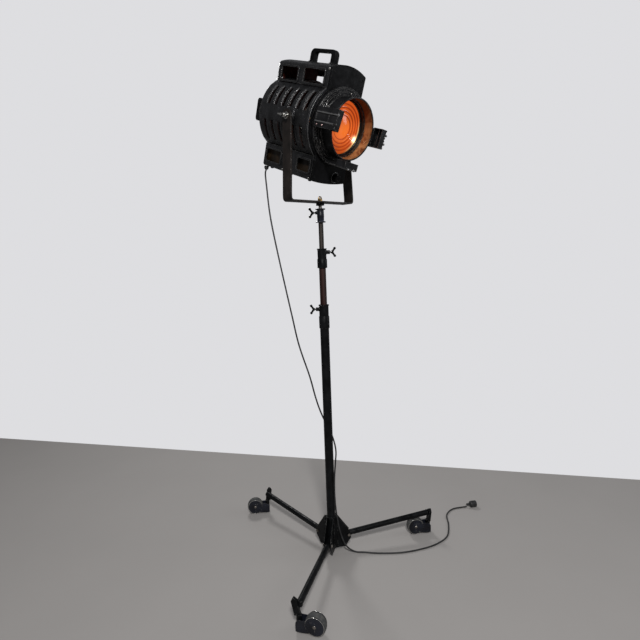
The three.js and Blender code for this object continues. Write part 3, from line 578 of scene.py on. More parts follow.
RUST_BROWN = painted("rust_brown", (0.03, 0.018, 0.009), bare=(0.2, 0.14, 0.08), grain=0.003,
                     relief=0.0004, rough=0.45, wear=0.4, dust=0.9, dust_colour=(0.16, 0.1, 0.045))
SOOT_BROWN = painted("soot_brown", (0.012, 0.008, 0.005), bare=(0.08, 0.06, 0.04), grain=0.003,
                     relief=0.0004, rough=0.5, wear=0.2, dust=0.5, dust_colour=(0.07, 0.045, 0.02))
# the hood's painted shade is darkest above the first height and gone below the second
HOOD_BRONZE = hood_bronze_painted_shade("hood_bronze_painted_shade", PIVOT.z + 0.06, PIVOT.z - 0.09)
CERAMIC = painted("ceramic_cream", COLOURS["ceramic_cream"], bare=(0.5, 0.46, 0.38), grain=0.004,
                  relief=0.00015, rough=0.3, wear=0.2, dust=0.4, dust_colour=(0.3, 0.25, 0.17))
MIRROR = bare_metal("mirror_silver", COLOURS["mirror_silver"], (0.5, 0.47, 0.42), 0.06, 0.1)
BULB_GLASS = clear_glass("bulb_glass", COLOURS["bulb_glass"])

# These CAD nodes keep their own shape and take only a finish.
KEPT_NODES = {"carriage_rail": STEEL_WORN, "focus_screw": STEEL_WORN, "door_hinge_pin": STEEL_WORN,
              "lamp_carriage": STEEL_DULL, "pivot_stud_left": STEEL, "pivot_stud_right": STEEL}
for kept_node, kept_finish in KEPT_NODES.items():
    frame["nodes"][kept_node].material_slots[0].material = kept_finish

# ---------------------------------------------------------------- lamp head: slotted drum and casings

DRUM_LOW, DRUM_HIGH = extent("drum_shell", HEAD)
FLANGE_RADIUS = DRUM_HIGH.z
DRUM_RADIUS = FLANGE_RADIUS - 2
DRUM_DEPTH = 8  # the ribs and the turned-in edges of the slots
FLANGE_END = DRUM_LOW.y + 9.5
SLOTS = {"last": DRUM_HIGH.y - 44, "pitch": 44.5, "count": 6, "width": 16, "low": 12, "high": 43,
         "lower_shift": 10}
SLOT_CENTRES = [SLOTS["last"] - i * SLOTS["pitch"] for i in range(SLOTS["count"])]
AIRWAY = {"half": 70, "front": -95, "upper_back": 45, "lower_back": 100}  # openings to the casings

BONNET_LOW, BONNET_HIGH = extent("bonnet", HEAD)
HOUSING_LOW, HOUSING_HIGH = extent("bottom_housing", HEAD)
CASING_HALF = BONNET_HIGH.x
CASING_SKIN = 3
CASING_FOOT = 60  # a casing's side starts inside the drum, and the drum's space is then cut from it
BONNET_SHOULDER = BONNET_HIGH.z - 20
HOUSING_SHOULDER = -HOUSING_LOW.z - 7


def even(start, end, count):
    return [start + (end - start) * i / count for i in range(count)]


def smoothstep(low, high, value):
    t = min(1, max(0, (value - low) / (high - low)))
    return t * t * (3 - 2 * t)


def drum_lines():
    """Grid lines of the drum's skin: positions along Y and angles from +X towards +Z."""
    half = SLOTS["width"] / 2
    ys = even(FLANGE_END, SLOT_CENTRES[-1] - half - 2, 4)
    for centre in reversed(SLOT_CENTRES):
        last = centre == SLOT_CENTRES[0]
        end = DRUM_HIGH.y if last else centre - half + SLOTS["pitch"] - 2
        ys += [centre - half - 2, centre - half, centre - half + 1.5, centre + half - 1.5, centre + half]
        ys += even(centre + half + 2, end, 5 if last else 6)
    low, high = SLOTS["low"], SLOTS["high"]
    airway = math.degrees(math.asin(AIRWAY["half"] / DRUM_RADIUS))
    quarter = (even(0, low - 1, 3) + [low - 1, low, low + 0.8] + even(low + 2, high - 2, 7)
               + [high - 2, high - 0.8, high, high + 1] + even(high + 3, 90 - airway, 3)
               + even(90 - airway, 90, 4))
    half_turn = quarter + [180 - a for a in reversed(quarter[1:] + [90])]
    return ys + [DRUM_HIGH.y], half_turn + [a + 180 for a in half_turn]


def slot_row_angle(angle):
    """Angle away from the nearer end of the X axis, 0 at the pivots and 90 at top and bottom."""
    a = angle % 180
    return min(a, 180 - a)


def drum_open(angle, y):
    """Whether the skin has an opening at the middle of a grid cell."""
    row = slot_row_angle(angle)
    if SLOTS["low"] < row < SLOTS["high"]:
        return any(abs(y - c) < SLOTS["width"] / 2 for c in SLOT_CENTRES)
    across = DRUM_RADIUS * math.cos(math.radians(row))
    back = AIRWAY["upper_back"] if angle < 180 else AIRWAY["lower_back"]
    return row > 60 and across < AIRWAY["half"] and AIRWAY["front"] < y < back


def rib_relief(angle, y):
    """How far the skin stands out: ribs bulge between the slots, and a low pad runs between the rows."""
    row = slot_row_angle(angle)
    away = min(abs(y - c) for c in SLOT_CENTRES)
    half_rib, half_slot = SLOTS["pitch"] / 2, SLOTS["width"] / 2
    across = min(1, max(0, (away - half_slot) / (half_rib - half_slot)))
    in_row = (smoothstep(SLOTS["low"] - 5, SLOTS["low"] + 2, row)
              * (1 - smoothstep(SLOTS["high"] - 2, SLOTS["high"] + 7, row)))
    pad = (1 - smoothstep(7, 10, row)) * smoothstep(-104, -98, y) * (1 - smoothstep(124, 130, y))
    return in_row * (3.4 - 6.5 * (1 - across) ** 2.4) + 1.6 * pad


def slot_shift(angle, y):
    """The lower rows of slots sit a little further back than the upper ones."""
    lower = smoothstep(0, 10, -slot_height_angle(angle))
    return SLOTS["lower_shift"] * lower * smoothstep(FLANGE_END, SLOT_CENTRES[-1] - 12, y) * (
        1 - smoothstep(SLOTS["last"] + 9, DRUM_HIGH.y, y))


def slot_height_angle(angle):
    """Angle above the X axis on either side, so the lower half of the drum is negative."""
    return math.degrees(math.asin(math.sin(math.radians(angle))))


def drum_layer(bm, angles, ys, radius_at):
    """One vertex for each angle and y, on a cylinder whose radius depends on both."""
    layer = []
    for a in angles:
        across, up = math.cos(math.radians(a)), math.sin(math.radians(a))
        radii = [radius_at(a, y) for y in ys]
        layer.append([bm.verts.new((r * across, y + slot_shift(a, y), r * up)) for r, y in zip(radii, ys)])
    return layer


def drum_skin():
    """Two layers of skin with their open cells left out, and a wall round every opening."""
    ys, angles = drum_lines()
    bm = bmesh.new()
    bore = DRUM_RADIUS - DRUM_DEPTH
    outer = drum_layer(bm, angles, ys, lambda a, y: DRUM_RADIUS + rib_relief(a, y))
    inner = drum_layer(bm, angles, ys, lambda a, y: bore)
    columns, rows = len(angles), len(ys) - 1

    def filled(i, j):
        if not 0 <= j < rows:
            return False
        a, b = angles[i % columns], angles[(i + 1) % columns]
        return not drum_open((a + (b if b > a else b + 360)) / 2, (ys[j] + ys[j + 1]) / 2)

    for i in range(columns):
        k = (i + 1) % columns
        for j in range(rows):
            if not filled(i, j):
                continue
            for skin in (outer, inner):
                bm.faces.new([skin[i][j], skin[k][j], skin[k][j + 1], skin[i][j + 1]])
            for closed, a, b in ((filled(i - 1, j), (i, j), (i, j + 1)),
                                 (filled(i + 1, j), (k, j), (k, j + 1)),
                                 (filled(i, j - 1), (i, j), (k, j)),
                                 (filled(i, j + 1), (i, j + 1), (k, j + 1))):
                if not closed:
                    bm.faces.new([outer[a[0]][a[1]], outer[b[0]][b[1]], inner[b[0]][b[1]],
                                  inner[a[0]][a[1]]])

    def sooty(face):
        middle = face.calc_center_median()
        return math.hypot(middle.x, middle.z) < bore + 0.6

    piece("drum_skin", bm, CASTING, "head", HEAD, ["drum_shell"], subdivide=2,
          inside=(sooty, SOOT_BROWN))


def drum():
    """The round body: slotted skin, the flange round its front, and the two pivot bosses."""
    drum_skin()
    bm = bmesh.new()
    ring(bm, FLANGE_RADIUS - 6, FLANGE_RADIUS, DRUM_LOW.y, FLANGE_END, ALONG_Y, 96)
    piece("drum_flange", bm, FLANGE, "head", HEAD, ["drum_shell"], bevel=1.2)

    bm = bmesh.new()
    face = DRUM_HIGH.x
    boss = [(0, DRUM_RADIUS - 6), (36, DRUM_RADIUS - 8), (35, DRUM_RADIUS - 1), (30, DRUM_RADIUS + 2.5),
            (25, DRUM_RADIUS + 4.5), (22, face - 1.5), (21, face), (0, face)]
    for side in (-1, 1):
        revolve(bm, boss, mirror(side) @ ALONG_X, 48)
    piece("pivot_bosses", bm, CASTING, "head", HEAD, ["drum_shell"], bevel=1.5)


def arched(half, shoulder, crown, base, skin=0.0):
    """Outline (x, z) of a casing: straight sides and a shallow arched crown."""
    rise = crown - shoulder
    radius = (half ** 2 + rise ** 2) / (2 * rise)
    spread = math.degrees(math.asin((half - skin) / (radius - skin)))
    return ([(half - skin, base)] + arc((0, crown - radius), radius - skin, 90 - spread, 90 + spread, 18)
            + [(skin - half, base)])


def casing_solid(shoulder, crown, front, back, skin):
    """Outside or inside form of a casing, its back and shoulder edges rounded."""
    bm = bmesh.new()
    half = CASING_HALF
    prism(bm, arched(half, shoulder, crown, CASING_FOOT, skin), front, back, UPRIGHT)
    bm.edges.ensure_lookup_table()
    shoulders = [e for e in bm.edges
                 if all(abs(abs(v.co.x) - half + skin) < 0.1 and v.co.z > 100 for v in e.verts)]
    bmesh.ops.bevel(bm, geom=shoulders, offset=8 - 0.8 * skin, segments=4, affect="EDGES", profile=0.5)
    rear = [e for e in bm.edges if all(abs(v.co.y - back) < 0.1 for v in e.verts)
            and any(v.co.z > CASING_FOOT + 1 for v in e.verts)]
    bmesh.ops.bevel(bm, geom=rear, offset=11 - skin, segments=4, affect="EDGES", profile=0.5,
                    clamp_overlap=True)
    return bm


def window_cutter(y0, y1, z0, z1):
    """A rounded window's shape right through both sides of a casing."""
    bm = bmesh.new()
    prism(bm, rounded_box(y0, y1, z0, z1, 5), -2 * CASING_HALF, 2 * CASING_HALF, SIDEWAYS)
    return bm


def window_rims(bm, windows, flip=1):
    """Raised rounded rims round the windows, on both sides."""
    for y0, y1, z0, z1 in windows:
        outer = rounded_box(y0 - 7, y1 + 7, z0 - 7, z1 + 7, 11)
        inner = rounded_box(y0, y1, z0, z1, 5)
        for side in (-1, 1):
            place = mirror(side) @ mirror(flip, (0, 0, 1)) @ SIDEWAYS
            loop_frame(bm, outer, inner, CASING_HALF - 1, CASING_HALF + 3.2, place)


def drum_space():
    """The drum with a little clearance, to be cut out of the casings."""
    bm = bmesh.new()
    reach, end = 400, FLANGE_END + 0.4
    flange, skin = FLANGE_RADIUS + 0.4, DRUM_RADIUS + 2.2
    revolve(bm, [(0, -reach), (flange, -reach), (flange, end), (skin, end), (skin, reach), (0, reach)],
            ALONG_Y, 96)
    return bm


def casing(name, node, shoulder, low, high, windows, flip, lining):
    """A sheet casing open towards the drum, browned inside by the lamp's heat."""
    crown = high.z if flip > 0 else -low.z
    outer = casing_solid(shoulder, crown, low.y, high.y, 0)
    inner = casing_solid(shoulder, crown, low.y - 20, high.y - CASING_SKIN, CASING_SKIN)
    upright = [(y0, y1, *sorted((flip * z0, flip * z1))) for y0, y1, z0, z1 in windows]
    bm = carved(outer, inner, drum_space(), *[window_cutter(*w) for w in upright])

    def is_inside(face):
        middle, normal = face.calc_center_median(), face.normal
        return (abs(middle.x) < CASING_HALF - 1.5 and middle.y < high.y - 1.5
                and normal.dot(middle - Vector((0, 30, flip * 150))) < 0)

    bm.transform(mirror(flip, (0, 0, 1)))
    piece(name, bm, CASTING, "head", HEAD, [node], inside=(is_inside, lining))
    bm = bmesh.new()
    window_rims(bm, upright, flip)
    piece(f"{name}_window_rims", bm, CASTING, "head", HEAD, [node], bevel=1.4)


def casings():
    """The bonnet over the drum and the housing under it, each with two windows a side."""
    top = BONNET_SHOULDER
    windows = [(60, 157, top - 63, top - 16), (-90, 22, top - 61, top - 14)]
    casing("bonnet_casing", "bonnet", top, BONNET_LOW, BONNET_HIGH, windows, 1, HEAT_BROWN)
    foot = HOUSING_SHOULDER
    windows = [(82, 176, 23 - foot, 70 - foot), (-99, -26, 25 - foot, 69 - foot)]
    casing("housing_casing", "bottom_housing", foot, HOUSING_LOW, HOUSING_HIGH, windows, -1, RUST_BROWN)


def screw_heads(bm, points, normal_place, radius=4.0):
    """Domed, slotted screw heads; normal_place turns +Z to the way they face."""
    for point in points:
        place = Matrix.Translation(point) @ normal_place
        revolve(bm, [(0, -1), (radius, -1), (radius, 0.8), (radius * 0.72, 2.0), (0, 2.5)], place, 20)


def front_plate():
    """The flat arched front with the round face that carries the lens door."""
    back = extent("front_plate", HEAD)[1].y
    face = back - 10
    half = CASING_HALF + 1.2
    top = arched(half, BONNET_SHOULDER, BONNET_HIGH.z, 0)[1:-1]
    bottom = arched(half, HOUSING_SHOULDER, -HOUSING_LOW.z, 0)[1:-1]
    disc = FLANGE_RADIUS - 4
    meet = math.degrees(math.acos(half / disc))
    outline = (arc((0, 0), disc, -meet, meet, 24) + top + arc((0, 0), disc, 180 - meet, 180 + meet, 24)
               + [(x, -z) for x, z in reversed(bottom)])
    bm = bmesh.new()
    prism(bm, outline, face, back, UPRIGHT)
    opening = bmesh.new()
    revolve(opening, [(0, -300), (112, -300), (112, 0), (0, 0)], ALONG_Y, 96)
    piece("front_panel", carved(bm, opening), PLATE, "head", HEAD, ["front_plate"],
          bevel=2.0)

    hinge_x = joint_place("lens_door_hinge").x
    bm = bmesh.new()
    block(bm, 136, hinge_x, face - 1, back, -9.7, 9.7)
    rod(bm, 5, -9.7, 9.7, shift(hinge_x, face - 6))
    piece("hinge_leaf", bm, PLATE, "head", HEAD, ["front_plate"], bevel=0.8)
    casing_fixings(face, back)


def casing_fixings(face, back):
    """Screws in the front plate and the casings' sides, and the housing's rubber feet."""
    bm = bmesh.new()
    points = [Vector((x, face, z)) for x in (-78, 78) for z in (BONNET_HIGH.z - 32, HOUSING_LOW.z + 20)]
    screw_heads(bm, points, FORWARD)
    piece("front_screws", bm, PLATE, "head", HEAD, bevel=0.4)

    bm = bmesh.new()
    for side in (-1, 1):
        facing = ALONG_X if side > 0 else ALONG_X @ turn(180, "X")
        screw_heads(bm, [Vector((side * CASING_HALF, back + 6, BONNET_HIGH.z - 27))], facing, 4.5)
        screw_heads(bm, [Vector((side * CASING_HALF, y, HOUSING_LOW.z + 14)) for y in (back + 12, 60)],
                    facing, 3.5)
    piece("casing_screws", bm, STEEL, "head", HEAD, bevel=0.4)

    bm = bmesh.new()
    for x in (-70, 70):
        for y in (150, 20, -95):
            revolve(bm, [(0, -3), (7, -3), (7, 3.5), (5, 6), (0, 6)],
                    shift(x, y, HOUSING_LOW.z + 6.5) @ turn(180, "X"), 24)
    piece("housing_feet", bm, PLATE, "head", HEAD, bevel=0.6)


def rear_plate():
    """Stepped round back with a pressed bead, louvres and its screws."""
    low, high = extent("rear_plate", HEAD)
    y0, y1, radius = low.y, high.y, high.z
    bm = bmesh.new()
    revolve(bm, [(0, y0), (radius, y0), (radius, y0 + 2.2), (radius - 2, y0 + 3), (124, y0 + 3),
                 (118, y0 + 3.6), (112, y1), (92, y1), (88, y1 - 1.5), (84, y1), (30, y1), (26, y1 - 1.2),
                 (0, y1 - 1.2)], ALONG_Y, 96)
    piece("back_panel", bm, CASTING, "head", HEAD, ["rear_plate"])
    bm = bmesh.new()
    for i in range(6):
        angle = math.radians(60 * i + 30)
        screw_heads(bm, [Vector((132 * math.cos(angle), y0 + 3, 132 * math.sin(angle)))], ALONG_Y, 4.5)
    piece("back_screws", bm, STEEL_WORN, "head", HEAD, bevel=0.4)
    bm = bmesh.new()
    for i in range(5):
        z = 26 * (i - 2)
        prism(bm, rounded_box(-34, 34, z - 6, z + 6, 5.5), y1 - 1, y1 + 1.6, UPRIGHT)
    piece("back_louvres", bm, CASTING, "head", HEAD, bevel=1.2)


def grip_outline(half, height, leg, bar, radius):
    """Outline of an upside-down U: half its length, its height, leg and bar widths, corner radius."""
    inner_radius = max(2, radius - bar)
    outer = (arc((half - radius, height - radius), radius, 0, 90)
             + arc((radius - half, height - radius), radius, 90, 180))
    corner = half - leg - inner_radius
    inner = (arc((-corner, height - bar - inner_radius), inner_radius, 180, 90)
             + arc((corner, height - bar - inner_radius), inner_radius, 90, 0))
    return [(half, 0)] + outer + [(-half, 0), (leg - half, 0)] + inner + [(half - leg, 0)]


def handles():
    """The loop on the bonnet with its feet, and the upright grip on the back."""
    low, high = extent("carry_handle", HEAD)
    bm = bmesh.new()
    middle = (low.y + high.y) / 2
    outline = grip_outline((high.y - low.y) / 2, high.z - low.z, 26, 13, 21)
    prism(bm, outline, low.x, high.x, shift(0, middle, low.z) @ SIDEWAYS)
    piece("loop_handle", bm, PLATE, "head", HEAD, ["carry_handle"], bevel=3.2)
    bm = bmesh.new()
    for y in (low.y + 13, high.y - 13):
        prism(bm, rounded_box(low.x - 4, high.x + 4, y - 15, y + 15, 4), low.z - 1.5, low.z + 2.2)
        screw_heads(bm, [Vector((low.x - 0.5, y, low.z + 1.6)), Vector((high.x + 0.5, y, low.z + 1.6))],
                    Matrix(), 2.6)
    piece("handle_feet", bm, PLATE, "head", HEAD, bevel=0.7)

    low, high = extent("rear_grip", HEAD)
    bm = bmesh.new()
    outline = grip_outline((high.z - low.z) / 2, high.y - low.y - 7, 11, 20, 12)
    place = Matrix(((0, 0, 1, 0), (0, 1, 0, low.y), (1, 0, 0, 0), (0, 0, 0, 1)))
    prism(bm, outline, low.x, high.x, place)
    piece("back_grip", bm, PLATE, "head", HEAD, ["rear_grip"], bevel=2.6)


drum()
casings()
front_plate()
rear_plate()
handles()

# ---------------------------------------------------------------- lamp head: lens door

TUBE_LOW, TUBE_HIGH = extent("lens_tube", HEAD)
LENS_LOW, LENS_HIGH = extent("fresnel_lens", HEAD)
HOOD_RADIUS = 111
HOOD_BORE = 107
LENS_BORE = 103
LENS_CLEAR = 96.5  # radius of the glass inside its ring
BAND_END = LENS_HIGH.y - 24.7
RUNNERS = (("runner_at_right", "runner_right", 5), ("runner_below", "runner_bottom", 96),
           ("runner_at_left", "runner_left", 188.5))  # name, node, degrees about the lens axis
COLLAR_RADIUS = TUBE_HIGH.z
COLLAR_STEP = TUBE_HIGH.y - 12
COLLAR_FACE = TUBE_HIGH.y - 22


def lens_hood():
    """Stepped collar and the hood in front of the lens, bronzed inside, with a rolled rim."""
    back, rim = TUBE_HIGH.y, TUBE_LOW.y
    collar, step, face = COLLAR_RADIUS, COLLAR_STEP, COLLAR_FACE
    seat = LENS_HIGH.y + 0.3
    outside = [(98, back), (collar - 1, back), (collar, back - 1), (collar, step + 1.5),
               (collar - 1.5, step), (134, step), (133, step - 1.6), (130, step - 1.6), (129, step),
               (126, step), (125, step - 1), (125, face + 1.5), (123.5, face), (118, face),
               (117, face + 1.5), (114, face + 1.5), (113, face), (HOOD_RADIUS, face - 2)]
    hood = [(HOOD_RADIUS, rim + 5), (HOOD_RADIUS + 1.4, rim + 4), (HOOD_RADIUS + 2, rim + 2),
            (HOOD_RADIUS + 1.4, rim + 0.5), (HOOD_RADIUS - 0.5, rim), (HOOD_BORE + 1, rim + 0.2),
            (HOOD_BORE, rim + 2)]
    inner = [(HOOD_BORE, BAND_END - 1), (HOOD_BORE - 1, BAND_END), (LENS_BORE, BAND_END),
             (LENS_BORE, seat), (98, seat)]
    bm = bmesh.new()
    revolve(bm, outside + hood + inner, ALONG_Y, 128)

    def bronzed(face):
        middle = face.calc_center_median()
        return math.hypot(middle.x, middle.z) < HOOD_BORE + 0.4 and middle.y < BAND_END - 0.5

    piece("lens_hood", bm, COLLAR, "lens_door", HEAD, ["lens_tube"],
          inside=(bronzed, HOOD_BRONZE))


def door_fittings():
    """Hinge ears, the ring of screws in the collar's face, and the catch that holds the door shut."""
    collar, step, face = COLLAR_RADIUS, COLLAR_STEP, COLLAR_FACE
    hinge = HEAD.inverted() @ (joint_place("lens_door_hinge") * MM) / MM
    bm = bmesh.new()
    for side in (-1, 1):
        low, high = sorted((side * 10, side * 30))
        rod(bm, 5, low, high, shift(hinge.x, hinge.y))
        block(bm, collar - 6, hinge.x, hinge.y - 5, hinge.y + 4.7, low, high)
        screw_heads(bm, [Vector((collar - 12, step, side * 24))], FORWARD, 3)
    piece("hinge_ears", bm, COLLAR, "lens_door", HEAD, ["lens_tube"], bevel=0.8)

    bm = bmesh.new()
    for angle in (150, 212, 262, 318, 30, 88):
        a = math.radians(angle)
        screw_heads(bm, [Vector((119.5 * math.cos(a), face, 119.5 * math.sin(a)))], FORWARD, 2.6)
    piece("hood_screws", bm, STEEL_WORN, "lens_door", HEAD, bevel=0.3)

    bm = bmesh.new()
    prism(bm, rounded_box(-collar - 3, -collar + 9, -11, 11, 3), step - 3, step + 0.5, UPRIGHT)
    rod(bm, 3.4, step - 9, step - 2, shift(-collar + 3, 0, 0) @ ALONG_Y)
    revolve(bm, [(0, 0), (5, 0), (6, 1.5), (6, 5), (4.5, 6.5), (0, 6.5)],
            shift(-collar + 3, step - 8) @ FORWARD, 32)
    piece("door_catch", bm, CHANNEL, "lens_door", HEAD @ turn(-24, "Y"), bevel=0.6)


def stepped_lens():
    """Each ring climbs towards the axis, then drops back; the rings crowd towards the edge."""
    low, high = LENS_LOW, LENS_HIGH
    edge, front, climb, riser = high.y - 6, low.y + 0.3, 4.2, 0.9
    edges = [LENS_CLEAR * share for share in (0.45, 0.6, 0.74, 0.87, 1.0)]
    profile = [(0, front)]
    inner = 0
    for i, outer in enumerate(edges):
        for t in (0.25, 0.5, 0.75, 1.0):
            drop = climb * t ** 2 * (1 if i else 0.9)
            profile.append((inner + (outer - inner) * t, front + drop))
        if outer < LENS_CLEAR:
            profile.append((outer + riser, front + 0.2))
            inner = outer + riser
    profile += [(LENS_CLEAR, edge), (high.x - 0.4, edge), (high.x, edge + 0.8), (high.x, high.y - 0.6),
                (high.x - 0.6, high.y), (0, high.y)]
    bm = bmesh.new()
    revolve(bm, profile, ALONG_Y, 128)
    places = [tuple(v.co) for v in bm.verts]
    lens = piece("stepped_lens", bm, amber_glass_painted_glow("lens_amber", edges), "lens_door", HEAD,
                 ["fresnel_lens"])
    attribute = lens.data.attributes.new("lens_place", "FLOAT_VECTOR", "POINT")
    attribute.data.foreach_set("vector", [c for place in places for c in place])


def lens_ring():
    """The band that holds the glass, and the brass wire between them."""
    low, high = extent("lens_ring", HEAD)
    bm = bmesh.new()
    revolve(bm, [(LENS_CLEAR + 1.6, high.y), (high.x, high.y), (high.x, low.y), (high.x - 2.4, low.y - 0.6),
                 (LENS_CLEAR + 2.2, low.y + 1.2)], ALONG_Y, 128)
    piece("lens_band", bm, COLLAR, "lens_door", HEAD, ["lens_ring"], bevel=0.4)
    bm = bmesh.new()
    wire = 1.1
    profile = [(LENS_CLEAR + 1.0 + wire * math.cos(a), high.y - 1.2 + wire * math.sin(a)) for a in around(10)]
    revolve(bm, profile, ALONG_Y, 128)
    piece("lens_wire", bm, BRASS, "lens_door", HEAD)


def frame_runner(name, node, degrees):
    """A folded channel for the edge of a colour frame, with two bright guide rods on its outside."""
    place = HEAD @ turn(degrees, "Y")
    low, high = extent(node, place)
    half, front, back = high.z, low.y + 6, high.y
    inner, outer, skin = HOOD_RADIUS + 3, high.x - 2.6, 2.6
    bm = bmesh.new()
    block(bm, outer - skin - 1.5, outer - 1.5, front, back, -half + 3, half - 3)
    for z0, z1 in ((-half, skin - half), (half - skin, half)):
        block(bm, inner, outer - 1, front, back - 62, z0, z1)
    for z0, z1 in ((-half, -19), (19, half)):
        block(bm, outer - skin, outer, front, back, z0, z1)
    for y in (back - skin, back - 65, front):
        block(bm, inner, outer - 1, y, y + skin, 1 - half, half - 1)
    block(bm, inner + 6, outer - 2, front + 20, front + 22.6, 3 - half, half - 3)
    for z in (-half + 4, -6, 6, half - 4):
        block(bm, outer - 2, outer + 1.2, front - 1, front + 5, z - 3, z + 3)
    piece(f"{name}_channel", bm, CHANNEL, "lens_door", place, [node], bevel=0.8)
    bm = bmesh.new()
    for z in (-16, 16):
        rod(bm, 2.5, low.y, back, shift(outer, 0, z) @ ALONG_Y, 20)
        prism(bm, hexagon(4.6, 30), front - 4.5, front - 0.3, shift(outer, 0, z) @ UPRIGHT)
    piece(f"{name}_rods", bm, STEEL_DULL, "lens_door", place, [node], bevel=0.5)
    bm = bmesh.new()
    screw_heads(bm, [Vector((outer, y, 27)) for y in (back - 14, back - 42)], ALONG_X, 3.6)
    piece(f"{name}_screws", bm, PINK_STEEL, "lens_door", place, bevel=0.3)


def focus_knob():
    """Scalloped handwheel on the focus screw, and the bezel round its hole in the front plate."""
    low, high = extent("focus_knob", HEAD)
    middle, radius = (low + high) / 2, (high.z - low.z) / 2
    bm = bmesh.new()
    scallops = []
    for a in around(108):
        reach = radius - 0.9 + 0.9 * math.cos(9 * a)
        scallops.append((reach * math.cos(a), reach * math.sin(a)))
    place = shift(middle.x, 0, middle.z)
    prism(bm, scallops, low.y + 2, high.y - 4, place @ UPRIGHT)
    revolve(bm, [(0, low.y + 1), (7, low.y + 1), (8, low.y), (11.5, low.y), (12.5, low.y + 2.5),
                 (0, low.y + 2.5)], place @ ALONG_Y, 48)
    revolve(bm, [(0, high.y - 5), (11, high.y - 5), (10, high.y), (0, high.y)], place @ ALONG_Y, 48)
    piece("focus_handwheel", bm, PLATE, "focus_drive", HEAD, ["focus_knob"], bevel=0.9)
    bm = bmesh.new()
    ring(bm, 18, 21.5, high.y + 0.4, high.y + 2.0, place @ ALONG_Y, 48)
    piece("knob_bezel", bm, FLANGE, "head", HEAD, bevel=0.6)


def gland():
    """Nut, neck and ribbed boot where the flex enters the housing."""
    low, high = extent("cable_gland", HEAD)
    middle = (low + high) / 2
    place = shift(middle.x, middle.y, 0)
    bm = bmesh.new()
    prism(bm, hexagon(11), high.z - 4, high.z, place)
    revolve(bm, [(0, high.z - 12), (8.5, high.z - 12), (9.2, high.z - 11), (9.2, high.z - 4),
                 (0, high.z - 4)], place, 32)
    boot = [(4, low.z), (5.6, low.z)]
    for i in range(4):
        z = low.z + 0.4 + i
        boot += [(6.4 + 0.4 * i, z + 0.3), (5.6 + 0.4 * i, z + 0.7)]
    revolve(bm, boot + [(8, high.z - 11), (4, high.z - 11)], place, 32)
    piece("flex_gland", bm, FLEX, "head", HEAD, ["cable_gland"], bevel=0.4)


# ---------------------------------------------------------------- lamp head: inside

def lamp():
    """Carriage, lamp holder, lamp and mirror; seen through the windows and with the lens door open."""
    low, high = extent("lamp_holder", HEAD)
    bulb_low, bulb_high = extent("lamp_bulb", HEAD)
    y0 = (bulb_low.y + bulb_high.y) / 2
    bm = bmesh.new()
    revolve(bm, [(0, low.z), (24, low.z), (24, low.z + 8), (21, low.z + 11), (19, low.z + 14),
                 (19, high.z - 1), (18, high.z), (15.6, high.z), (15.6, high.z - 14), (0, high.z - 14)],
            shift(0, y0), 48)
    piece("lamp_socket", bm, CERAMIC, "lamp_unit", HEAD, ["lamp_holder"], bevel=0.8)

    low, globe = bulb_low, (bulb_high.y - bulb_low.y) / 2
    profile = [(0, low.z), (14, low.z), (15, low.z + 1), (15, low.z + 20), (16.5, low.z + 26)]
    profile += [(globe * math.cos(math.radians(a)), globe * math.sin(math.radians(a)))
                for a in range(-56, 90, 10)] + [(0, globe)]
    bm = bmesh.new()
    revolve(bm, profile, shift(0, y0), 64)
    piece("lamp_globe", bm, BULB_GLASS, "lamp_unit", HEAD, ["lamp_bulb"])

    radius = extent("reflector", HEAD)[1].y - y0
    bm = bmesh.new()
    revolve(bm, arc((0, 0), radius - 2, 90, 45, 16) + arc((0, 0), radius, 45, 90, 16),
            shift(0, y0) @ ALONG_Y, 64)
    piece("lamp_mirror", bm, MIRROR, "lamp_unit", HEAD, ["reflector"])


def baffles():
    """Heat baffles in both casings, clear of the lamp carriage."""
    bm = bmesh.new()
    for x in (-74, 74):
        block(bm, x - 1, x + 1, HOUSING_LOW.y + 10, HOUSING_HIGH.y - 8, HOUSING_LOW.z + 14, -122)
    for y in range(-80, 170, 28):
        block(bm, 74, 78, y, y + 3, HOUSING_LOW.z + 16, -124)
    piece("housing_baffle", bm, RUST_BROWN, "head", HEAD, bevel=0.5)
    bm = bmesh.new()
    block(bm, -22, -19, 26, BONNET_HIGH.y - 5, DRUM_RADIUS - 4, BONNET_HIGH.z - 6)
    top = BONNET_HIGH.z - 24
    shield = arc((0, 0), DRUM_RADIUS - 4, 62, 118, 12) + [(-70, top), (70, top)]
    prism(bm, shield, BONNET_HIGH.y - 14, BONNET_HIGH.y - 11, UPRIGHT)
    piece("bonnet_baffle", bm, HEAT_BROWN, "head", HEAD, bevel=0.5)


lens_hood()
door_fittings()
stepped_lens()
lens_ring()
for runner, runner_node, runner_turn in RUNNERS:
    frame_runner(runner, runner_node, runner_turn)
focus_knob()
gland()
lamp()
baffles()

# ---------------------------------------------------------------- yoke and fasteners


